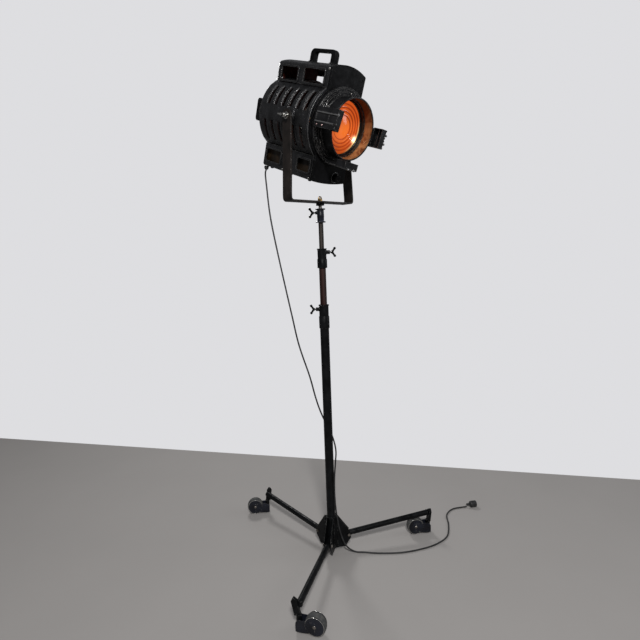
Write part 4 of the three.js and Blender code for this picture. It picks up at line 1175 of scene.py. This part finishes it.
def yoke():
    """One flat bar bent into a U: its arms lean in from the base and end flat and round at the pivots."""
    low, high = extent("yoke")
    pivot = joint_place("head_tilt")
    outer, thickness = high.x, 6
    top = DRUM_HIGH.x + 0.3 + thickness
    half, base, bend = (high.y - low.y) / 2, low.z, 14
    corner_out = (outer - bend, base + bend)

    def side_of_bar(arm_top, arm_foot, radius):
        right = ([(arm_top, pivot.z), (arm_top, pivot.z - 32), (arm_foot, base + bend + 12)]
                 + arc(corner_out, radius, 0, -90, 8))
        return right + [(-x, z) for x, z in reversed(right)]

    outside = side_of_bar(top, outer, bend)
    inside = side_of_bar(top - thickness, outer - thickness, bend - thickness)
    sections = []
    for (xo, zo), (xi, zi) in zip(outside, inside):
        sections.append([Vector((xo, -half, zo)), Vector((xo, half, zo)), Vector((xi, half, zi)),
                         Vector((xi, -half, zi))])
    bm = bmesh.new()
    sweep(bm, sections)
    for side in (-1, 1):
        outline = arc((0, pivot.z), half, 0, 180, 24)
        prism(bm, outline, top - thickness, top, mirror(side) @ SIDEWAYS)
    bmesh.ops.remove_doubles(bm, verts=bm.verts, dist=0.01)
    bm.normal_update()
    shared = [f for f in bm.faces
              if abs(f.normal.z) > 0.9 and abs(f.calc_center_median().z - pivot.z) < 0.01]
    bmesh.ops.delete(bm, geom=shared, context="FACES_ONLY")
    piece("yoke_bar", bm, BAR, "yoke_frame", STAND, ["yoke"], bevel=1.1)

    bm = bmesh.new()
    for side in (-1, 1):
        place = shift(0, 0, pivot.z) @ mirror(side) @ ALONG_X
        ring(bm, 5.5, 13, top + 0.05, top + 0.28, place, 48)
    piece("pivot_washers", bm, STEEL_WORN, "yoke_frame", STAND, bevel=0.4)


def wing_nut(name, node, body, side):
    """Forged wing nut: conical hub and two ears that thicken towards their round ends."""
    low, high = extent(node, HEAD)
    base, top = (low.x, high.x) if side > 0 else (-high.x, -low.x)
    flip = mirror(side)
    bm = bmesh.new()
    ring(bm, 5.2, 12.5, base, base + 1.6, flip @ ALONG_X, 40)
    revolve(bm, [(5.2, base + 1.6), (10, base + 1.6), (9.4, base + 6), (8, top - 9), (7.2, top - 8),
                 (5.2, top - 8)], flip @ ALONG_X, 40)
    for way in (0, 180):
        place = flip @ turn(way, "X")
        sections = []
        for reach, x0, x1, thick in ((5, base + 3, top - 9, 3.4), (12, base + 5, top - 4, 2.6),
                                     (19, base + 9, top - 0.6, 2.6), (24, base + 13, top, 2.9),
                                     (26.5, base + 16, top - 2, 2.0)):
            rounded = rounded_box(x0, x1, -thick, thick, thick * 0.9, 3)
            sections.append([place @ Vector((x, reach, z)) for x, z in rounded])
        sweep(bm, sections)
    piece(name, bm, STEEL, body, HEAD, [node])


def spigot():
    """Turned peg with its flange nut under the yoke, and the brass eye nut on top."""
    low, high = extent("spigot")
    flange = high.x
    bar = extent("yoke")[0].z
    nut_low = bar - 10.6
    bm = bmesh.new()
    revolve(bm, [(0, low.z), (7, low.z), (8, low.z + 1), (8, nut_low - 8), (6.5, nut_low - 7),
                 (6.5, nut_low - 3), (8, nut_low - 2), (8, nut_low), (0, nut_low)], None, 48)
    piece("spigot_peg", bm, STEEL_WORN, "yoke_frame", STAND, ["spigot"], bevel=0.4)
    bm = bmesh.new()
    prism(bm, hexagon(flange, 15), nut_low, nut_low + 6.5)
    revolve(bm, [(0, nut_low + 6.5), (flange - 1, nut_low + 6.5), (flange, nut_low + 7.5),
                 (flange - 1, bar - 0.6), (0, bar - 0.6)], None, 48)
    piece("spigot_nut", bm, STAND_PAINT, "yoke_frame", STAND, ["spigot"], bevel=0.8)

    low, high = extent("yoke_eye_nut")
    bm = bmesh.new()
    prism(bm, hexagon(10), low.z, low.z + 8)
    revolve(bm, [(0, low.z + 8), (6, low.z + 8), (5, low.z + 11), (3.5, low.z + 12), (0, low.z + 12)],
            None, 32)
    hoop(bm, 8, lambda a: 2.6, shift(z=high.z - 10.6) @ UPRIGHT, 36, 12)
    piece("eye_nut", bm, BRASS, "yoke_frame", STAND, ["yoke_eye_nut"], bevel=0.7)


# ---------------------------------------------------------------- stand column

CLAMP_RADIUS = {"lower_clamp": 22, "middle_clamp": 20.5}


def thumb_screw(name, node, body, joint):
    """Screw with two forged arms that spread from its hub and end in balls."""
    place = screw_place(joint)
    low, high = extent(node, screw_place(joint, MM))
    reach = high.x - 20.9
    bm = bmesh.new()
    rod(bm, 2.9, low.x, reach + 2, place @ ALONG_X)
    revolve(bm, [(0, reach), (5, reach), (6.5, reach + 4), (6, reach + 7), (3.5, reach + 10.5),
                 (0, reach + 11)], place @ ALONG_X, 32)
    for side in (-1, 1):
        arm = place @ shift(reach + 5, 0, 0) @ turn(-side * 55, "Y") @ ALONG_X
        revolve(bm, [(0, 0), (5, 1), (4.3, 9), (3.9, 13), (4.4, 15.2), (5.2, 17), (5.5, 19), (5.0, 21.6),
                     (3, 23.6), (0, 24.4)], arm, 28)
    piece(name, bm, STAND_PAINT, body, STAND, [node])


def column_tube(name, node, finish, body):
    """A tube with its outer edges eased."""
    low, high = extent(node)
    radius, wall, ease = high.x, 2.4, 0.6
    bm = bmesh.new()
    revolve(bm, [(radius - wall, low.z), (radius - ease, low.z), (radius, low.z + ease),
                 (radius, high.z - ease), (radius - ease, high.z), (radius - wall, high.z)], None, FINE)
    piece(name, bm, finish, body, STAND, [node])


def clamp(name, node, body, screw_joint, inner_tube):
    """Turned clamp, necked above its lower part, with a tapered boss for its screw."""
    low, high = extent(node)
    inner = extent(inner_tube)[1].x + 0.4
    radius = CLAMP_RADIUS[node]
    neck = radius - 2
    split = 2 * joint_place(screw_joint).z - high.z - 12
    bm = bmesh.new()
    revolve(bm, [(inner, low.z), (radius - 1.2, low.z), (radius, low.z + 1.2), (radius, split - 1),
                 (radius - 0.6, split), (neck, split + 2), (neck, high.z - 6), (radius, high.z - 4.5),
                 (radius, high.z - 1), (radius - 1.2, high.z), (inner + 1.5, high.z), (inner, high.z - 1)],
            None, FINE)
    revolve(bm, [(0, neck - 6), (9.5, neck - 6), (9, neck + 1), (8, neck + 4), (8, 32.5), (7, 34),
                 (3.4, 34), (3.4, 30), (0, 30)], screw_place(screw_joint) @ ALONG_X, 40)
    piece(name, bm, STAND_PAINT, body, STAND, [node], bevel=0.5)


def socket():
    """Flanged socket for the spigot on top of the column, with a boss for its screw."""
    low, high = extent("top_socket")
    flange = 20.5
    bm = bmesh.new()
    revolve(bm, [(8.4, low.z), (flange - 1, low.z), (flange, low.z + 1), (flange, low.z + 3.2),
                 (flange - 1.5, low.z + 4.2), (15.5, low.z + 5), (14, low.z + 7), (14, low.z + 20),
                 (14.6, low.z + 21), (14.6, high.z - 21), (14, high.z - 20), (14, high.z - 7),
                 (15.5, high.z - 5), (flange - 1.5, high.z - 4.2), (flange, high.z - 3.2),
                 (flange, high.z - 1), (flange - 1, high.z), (8.4, high.z)], None, FINE)
    revolve(bm, [(0, 11), (7.5, 11), (6.8, 15), (6.5, 20.5), (5.5, 22), (0, 22)],
            screw_place("socket_screw_turn") @ ALONG_X, 36)
    piece("socket_body", bm, SOCKET_PAINT, "top_stage", STAND, ["top_socket"], bevel=0.4)


yoke()
for nut_side, nut_sign in (("left", -1), ("right", 1)):
    wing_nut(f"wing_nut_at_{nut_side}", f"wing_nut_{nut_side}", f"pivot_nut_{nut_side}", nut_sign)
spigot()
for level, screw in (("lower", "lower_clamp_screw"), ("middle", "middle_clamp_screw"),
                     ("socket", "socket_screw")):
    thumb_screw(f"thumb_screw_{level}", screw, f"{level}_thumbscrew", f"{screw}_turn")
column_tube("column_lower", "lower_tube", STAND_PAINT, "base")
column_tube("column_middle", "middle_tube", TUBE_BROWN, "middle_stage")
column_tube("column_upper", "upper_tube", TUBE_STEEL, "top_stage")
clamp("clamp_lower", "lower_clamp", "base", "lower_clamp_screw_turn", "middle_tube")
clamp("clamp_middle", "middle_clamp", "middle_stage", "middle_clamp_screw_turn", "upper_tube")
socket()

# ---------------------------------------------------------------- wheeled base

GROUND = min(extent(f"tyre_{side}")[0].z for side in SIDES)
LEG = {"inner": 24, "inner_z": GROUND + 66, "outer_z": GROUND + 100, "radius": 12.5, "bolt": 76}
WHEEL_RADIUS = (extent("tyre_back")[1].z - GROUND) / 2
CHEEK_IN = 14.5  # from the middle of a wheel to the inside of its cheeks


def leg_place(side):
    """Frame of a leg, X out along it, and how far out its castor swivels."""
    swivel = joint_place(f"caster_swivel_{side}")
    return heading(swivel), math.hypot(swivel.x, swivel.y)


def leg_height(radius, end):
    """Height of a leg's middle line at a distance from the column."""
    share = (radius - LEG["inner"]) / (end - LEG["inner"])
    return LEG["inner_z"] + share * (LEG["outer_z"] - LEG["inner_z"])


def weld(bm, radius, place, bead):
    """A ring of weld metal, a little uneven."""

    def wire(a):
        return bead * (1 + 0.22 * math.sin(7 * a) + 0.12 * math.sin(17 * a + 1))

    hoop(bm, radius, wire, place, 48, 8)


def base_hub():
    """Sleeve round the foot of the column, and the gusset plates welded to it in pairs, one for each leg."""
    top = extent("base_hub")[1].z
    inner = extent("lower_tube")[1].x + 0.3
    bm = bmesh.new()
    revolve(bm, [(0, 0), (20.5, 0), (22, 1.5), (22, top - 1.5), (20.5, top), (inner, top), (inner, top - 6),
                 (0, top - 6)], None, FINE)
    weld(bm, 20.3, shift(0, 0, top + 0.2), 1.5)
    piece("hub_sleeve", bm, STAND_PAINT, "base", STAND, ["base_hub"], bevel=0.5)
    plates, beads = bmesh.new(), bmesh.new()
    gusset = [(12, 0), (60, 0), (72, 19), (85, 35), (85, 67), (76, 79), (26, top), (12, top)]
    for side in SIDES:
        place = leg_place(side)[0]
        for y in (-17, 13):
            prism(plates, gusset, y, y + 4, place @ UPRIGHT)
        for y in (-17.6, 17.6):
            path = [place @ Vector((22.2, y, z)) for z in range(6, int(top) - 4, 8)]
            tube_along(beads, path, 1.9, 8)
    piece("hub_gussets", plates, STAND_PAINT, "base", STAND, ["base_hub"], bevel=0.9)
    piece("hub_welds", beads, STAND_PAINT, "base", STAND)


def leg(side):
    """A tube from the gussets out to its pointed end post, the welds there, and its bolt at the hub."""
    place, end = leg_place(side)
    slope = math.degrees(math.atan2(LEG["outer_z"] - LEG["inner_z"], end - LEG["inner"]))
    lay = place @ shift(LEG["inner"], 0, LEG["inner_z"]) @ turn(-slope, "Y") @ ALONG_X
    length = (end - LEG["inner"]) / math.cos(math.radians(slope))
    radius = LEG["radius"]
    bm = bmesh.new()
    revolve(bm, [(radius - 2, 0), (radius - 0.6, 0), (radius, 0.6), (radius, length - 2), (0, length - 2),
                 (0, length - 8), (radius - 2, length - 8)], lay, 48)
    piece(f"leg_tube_{side}", bm, STAND_PAINT, "base", STAND, [f"leg_{side}"])

    post = place @ shift(end, 0, GROUND + 40) @ turn(12, "X") @ SIDEWAYS
    bm = bmesh.new()
    prism(bm, [(-12, 22), (12, 22), (12, 78), (2.5, 88.8), (0, 90), (-2.5, 88.8), (-12, 78)], -6, 6, post)
    revolve(bm, [(0, GROUND + 17), (9, GROUND + 17), (10, GROUND + 18), (10, GROUND + 66),
                 (0, GROUND + 66)], place @ shift(end), 48)
    piece(f"leg_post_{side}", bm, STAND_PAINT, "base", STAND, [f"leg_{side}"], bevel=1.0)
    bm = bmesh.new()
    weld(bm, radius - 0.4, lay @ shift(0, 0, length - 6.6), 1.9)
    weld(bm, 9.4, place @ shift(end, 0, GROUND + 63), 1.7)
    piece(f"leg_welds_{side}", bm, STAND_PAINT, "base", STAND)

    bolt = place @ shift(LEG["bolt"], 0, leg_height(LEG["bolt"], end)) @ turn(90, "X")
    bm = bmesh.new()
    prism(bm, hexagon(7), 17.3, 21.5, bolt)
    prism(bm, hexagon(7, 20), -22.3, -17.6, bolt)
    rod(bm, 4, -17.7, 17.4, bolt, 20)
    piece(f"hub_bolt_{side}", bm, STEEL_WORN, "base", STAND, [f"leg_bolt_{side}"], bevel=0.5)


def castor(side):
    """Twin-cheek castor: dished cheeks with a worn rim, the swivel pin, and a grey tyred wheel."""
    swivel, hub = joint_place(f"caster_swivel_{side}"), joint_place(f"wheel_spin_{side}")
    trail = math.hypot(hub.x - swivel.x, hub.y - swivel.y)
    place = shift(swivel.x, swivel.y, GROUND) @ heading(hub - swivel)
    wheel = place @ shift(trail, 0, WHEEL_RADIUS) @ turn(-90, "X")
    faces = (wheel, wheel @ turn(180, "X"))
    castor_fork(side, trail, place, wheel, faces)
    castor_wheel(side, wheel)


def castor_fork(side, trail, place, wheel, faces):
    """Everything that swivels: cheeks with their bright rims, bridge, pin and axle bolt."""
    body = f"caster_{side}"
    fork = [f"caster_fork_{side}"]
    cheek = [(0, CHEEK_IN), (35.5, CHEEK_IN), (36.5, 15.4), (36, 16.6), (33.5, 17.3), (29, 16.4), (12, 16.6),
             (10, 17.5), (0, 17.5)]
    arm = [(-7, 6), (14, 6), (trail, 14), (trail, 54), (6, 54), (-3, 49), (-9, 40), (-9, 8)]
    bm = bmesh.new()
    for face in faces:
        revolve(bm, cheek, face, 72)
    for y in (-17.3, CHEEK_IN):
        prism(bm, arm, y, y + 2.8, place @ UPRIGHT)
    piece(f"fork_cheeks_{side}", bm, WHEEL, body, STAND, fork, bevel=0.5)
    bm = bmesh.new()
    block(bm, -9, 13, -15, 15, 6, 16.5, place)
    revolve(bm, [(0, 12), (5, 12), (5, 49), (4, 50), (0, 50)], place, 32)
    piece(f"fork_bridge_{side}", bm, STAND_PAINT, body, STAND, fork, bevel=1.0)
    bm = bmesh.new()
    for face in faces:
        ring(bm, 35.2, 36.8, 16.0, 17.3, face, 72)
    piece(f"cheek_rims_{side}", bm, STEEL, body, STAND, bevel=0.3)
    bm = bmesh.new()
    rod(bm, 4, -17.8, 17.8, wheel)
    for face in faces:
        revolve(bm, [(0, 17.8), (7, 17.8), (7, 19.4), (5, 21.2), (0, 21.8)], face, 32)
    piece(f"axle_bolt_{side}", bm, STEEL_WORN, body, STAND, [f"caster_axle_{side}"],
          bevel=0.4)


def castor_wheel(side, wheel):
    """Dark disc with its hub, and the grey tyre with rounded shoulders."""
    body = f"wheel_{side}"
    half, shoulder = 12.5, 6
    bm = bmesh.new()
    revolve(bm, [(4.3, -13.4), (9, -13.4), (10, -9), (27, -8), (27, 8), (10, 9), (9, 13.4), (4.3, 13.4)],
            wheel, 64)
    piece(f"wheel_disc_{side}", bm, WHEEL, body, STAND, [f"wheel_hub_{side}"], bevel=0.6)
    tread = WHEEL_RADIUS - shoulder - 0.15
    crown = (arc((tread, shoulder - half), shoulder, -90, 0, 6)
             + arc((tread, half - shoulder), shoulder, 0, 90, 6))
    bm = bmesh.new()
    revolve(bm, [(27.3, 5 - half), (29, -half)] + crown + [(29, half), (27.3, half - 5)], wheel, 96)
    piece(f"wheel_tyre_{side}", bm, TYRE, body, STAND, [f"tyre_{side}"])


# ---------------------------------------------------------------- cable

# The flex's route, its heights above the floor: down beside the column, round it, then over the floor.
CABLE = [(-76, 248, 1712), (-77, 254, 1694), (-80, 245, 1630), (-84, 232, 1550), (-86, 216, 1475),
         (-84, 191, 1367), (-80, 160, 1237), (-74, 124, 1086), (-66, 95, 956), (-50, 52, 820),
         (-38, 34, 730), (-22, 27, 670), (6, 27, 610), (26, 6, 545), (27, -16, 480), (18, -20, 420),
         (6, -23, 350), (3, -24, 270), (4, -30, 190), (9, -42, 110), (19, -66, 45), (48, -92, 10),
         (80, -126, 4.9), (120, -178, 4.5), (190, -247, 4.5), (270, -297, 4.5), (350, -328, 4.5),
         (435, -331.5, 4.5), (520, -288, 4.5), (590, -236, 4.5), (660, -228, 4.5), (728, -268, 4.8)]
CABLE_JOINS = (1550, 1367, 1086, 800)  # heights where one length of flex ends and the next begins
CABLE_RADIUS = 3.4


def cable():
    """One flex from the head to its plug, in lengths that each run between two of the bodies it hangs from."""
    path = smooth_path([(x, y, z + GROUND) for x, y, z in CABLE])
    path[0] = HEAD @ (Vector((-76, 181, extent("cable_gland", HEAD)[0].z + 1)) * MM) / MM
    marks = [0] + [min(range(len(path)), key=lambda i: abs(path[i].z - (z + GROUND)))
                   for z in CABLE_JOINS]
    bodies = (("head", "yoke_frame"), ("yoke_frame", "top_stage"), ("top_stage", "middle_stage"),
              ("middle_stage", "base"))
    for i, pair in enumerate(bodies):
        stretch = path[marks[i]:marks[i + 1] + 1]
        bm = bmesh.new()
        tube_along(bm, stretch, CABLE_RADIUS)
        replaced = ["cable_drop"] if i < 2 else []
        piece(f"flex_{i + 1}", bm, FLEX, None, STAND, replaced,
              blend=(*pair, stretch[0], stretch[-1]))
    bm = bmesh.new()
    tube_along(bm, path[marks[-1]:], CABLE_RADIUS)
    piece("flex_run", bm, FLEX, "base", STAND, ["cable_run"])


def plug():
    """Round moulded plug with a ribbed sleeve and grip ridges."""
    end = Vector(CABLE[-1])
    place = shift(end.x, end.y, GROUND + 16.4) @ turn(-37) @ ALONG_X
    profile = [(0, 0.5), (4.5, 0.5)]
    for i in range(4):
        x = 2 + 3 * i
        profile += [(5.6 + 0.3 * i, x), (5.6 + 0.3 * i, x + 1.6), (4.8 + 0.3 * i, x + 2.2)]
    profile += [(8, 15), (14, 20), (15.6, 23), (16, 26), (16, 49), (15, 51.5), (0, 51.5)]
    bm = bmesh.new()
    revolve(bm, profile, place, 48)
    for i in range(12):
        block(bm, 14.5, 16, -1.2, 1.2, 28, 47, place @ turn(30 * i + 15))
    piece("plug_body", bm, FLEX, "base", STAND, ["cable_plug"], bevel=0.5)


base_hub()
for stand_side in SIDES:
    leg(stand_side)
    castor(stand_side)
cable()
plug()

# ---------------------------------------------------------------- stage, light and camera

FLOOR_Z = min(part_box(f"tyre_{side}")[0].z for side in SIDES)


def plain(name, colour, roughness, variation=0.04):
    """An even matt surface that varies a little in tone."""
    s = Shader(name)
    tone = s.mix(s.noise(2.5, 6), shade(colour, 1 - variation), shade(colour, 1 + variation))
    return s.finish(base_color=tone, roughness=roughness, normal=s.bump(s.noise(90, 4), 0.0004, 0.25))


def stage():
    """A plain pale floor that ends a little behind the stand, in front of the pale backdrop."""
    bm = bmesh.new()
    block(bm, -13, 0.92, -14, 14, -0.02, 0, turn(33))  # metres; the long edge at 0.92 is behind the stand
    mesh = bpy.data.meshes.new("floor")
    bm.transform(shift(z=FLOOR_Z))
    bm.to_mesh(mesh)
    bm.free()
    floor = bpy.data.objects.new("floor", mesh)
    bpy.context.scene.collection.objects.link(floor)
    mesh.materials.append(plain("floor_pale", (0.39, 0.37, 0.355), 0.75))


def area_light(name, place, target, size, watts, colour=(1, 1, 1)):
    """A round area light at a place, turned to face its target."""
    data = bpy.data.lights.new(name, "AREA")
    data.shape = "DISK"
    data.size, data.energy, data.color = size, watts, colour
    light = bpy.data.objects.new(name, data)
    bpy.context.scene.collection.objects.link(light)
    light.location = place
    light.rotation_euler = (Vector(target) - Vector(place)).to_track_quat("-Z", "Y").to_euler()


def lighting():
    """A pale room that lights softly, and three broad soft lights that model the paint."""
    world = bpy.data.worlds.new("pale")
    world.use_nodes = True
    nodes, links = world.node_tree.nodes, world.node_tree.links
    backdrop, room = nodes["Background"], nodes.new("ShaderNodeBackground")
    backdrop.inputs["Color"].default_value = (0.73, 0.73, 0.75, 1)
    backdrop.inputs["Strength"].default_value = 1.0
    room.inputs["Color"].default_value = (0.80, 0.81, 0.84, 1)
    room.inputs["Strength"].default_value = 0.2
    seen, choice = nodes.new("ShaderNodeLightPath"), nodes.new("ShaderNodeMixShader")
    links.new(seen.outputs["Is Camera Ray"], choice.inputs[0])
    links.new(room.outputs[0], choice.inputs[1])
    links.new(backdrop.outputs[0], choice.inputs[2])
    links.new(choice.outputs[0], nodes["World Output"].inputs["Surface"])
    bpy.context.scene.world = world
    bpy.context.scene.view_settings.view_transform = "Standard"
    middle = (0, 0, FLOOR_Z + 1.5)
    area_light("key", (-2.2, -2.6, FLOOR_Z + 3.5), middle, 0.6, 125)
    area_light("fill", (2.6, -2.2, FLOOR_Z + 2.2), middle, 1.6, 13, (0.93, 0.96, 1))
    area_light("rim", (1.4, 2.6, FLOOR_Z + 3.0), middle, 0.9, 40)


def camera():
    """A standing person's view from the lens's left, two metres away, the camera a little rolled."""
    azimuth, distance, height = math.radians(-44.32), 2.0, 1.3618
    yaw, pitch, roll = math.radians(0.52), math.radians(8.43), math.radians(-2.12)
    out = Vector((math.sin(azimuth), -math.cos(azimuth), 0))
    ahead = Matrix.Rotation(yaw, 3, "Z") @ -out
    forward = ahead * math.cos(pitch) - Vector((0, 0, math.sin(pitch)))
    right = forward.cross(Vector((0, 0, 1))).normalized()
    up = right.cross(forward)
    right, up = (right * math.cos(roll) + up * math.sin(roll),
                 up * math.cos(roll) - right * math.sin(roll))
    data = bpy.data.cameras.new("camera")
    data.sensor_width, data.lens = 36, 36 * 474.82 / 640
    data.clip_start, data.clip_end = 0.05, 60
    eye = bpy.data.objects.new("camera", data)
    bpy.context.scene.collection.objects.link(eye)
    turned = Matrix((right, up, -forward)).transposed().to_4x4()
    eye.matrix_world = Matrix.Translation(out * distance + Vector((0, 0, FLOOR_Z + height))) @ turned
    bpy.context.scene.camera = eye


stage()
lighting()
camera()
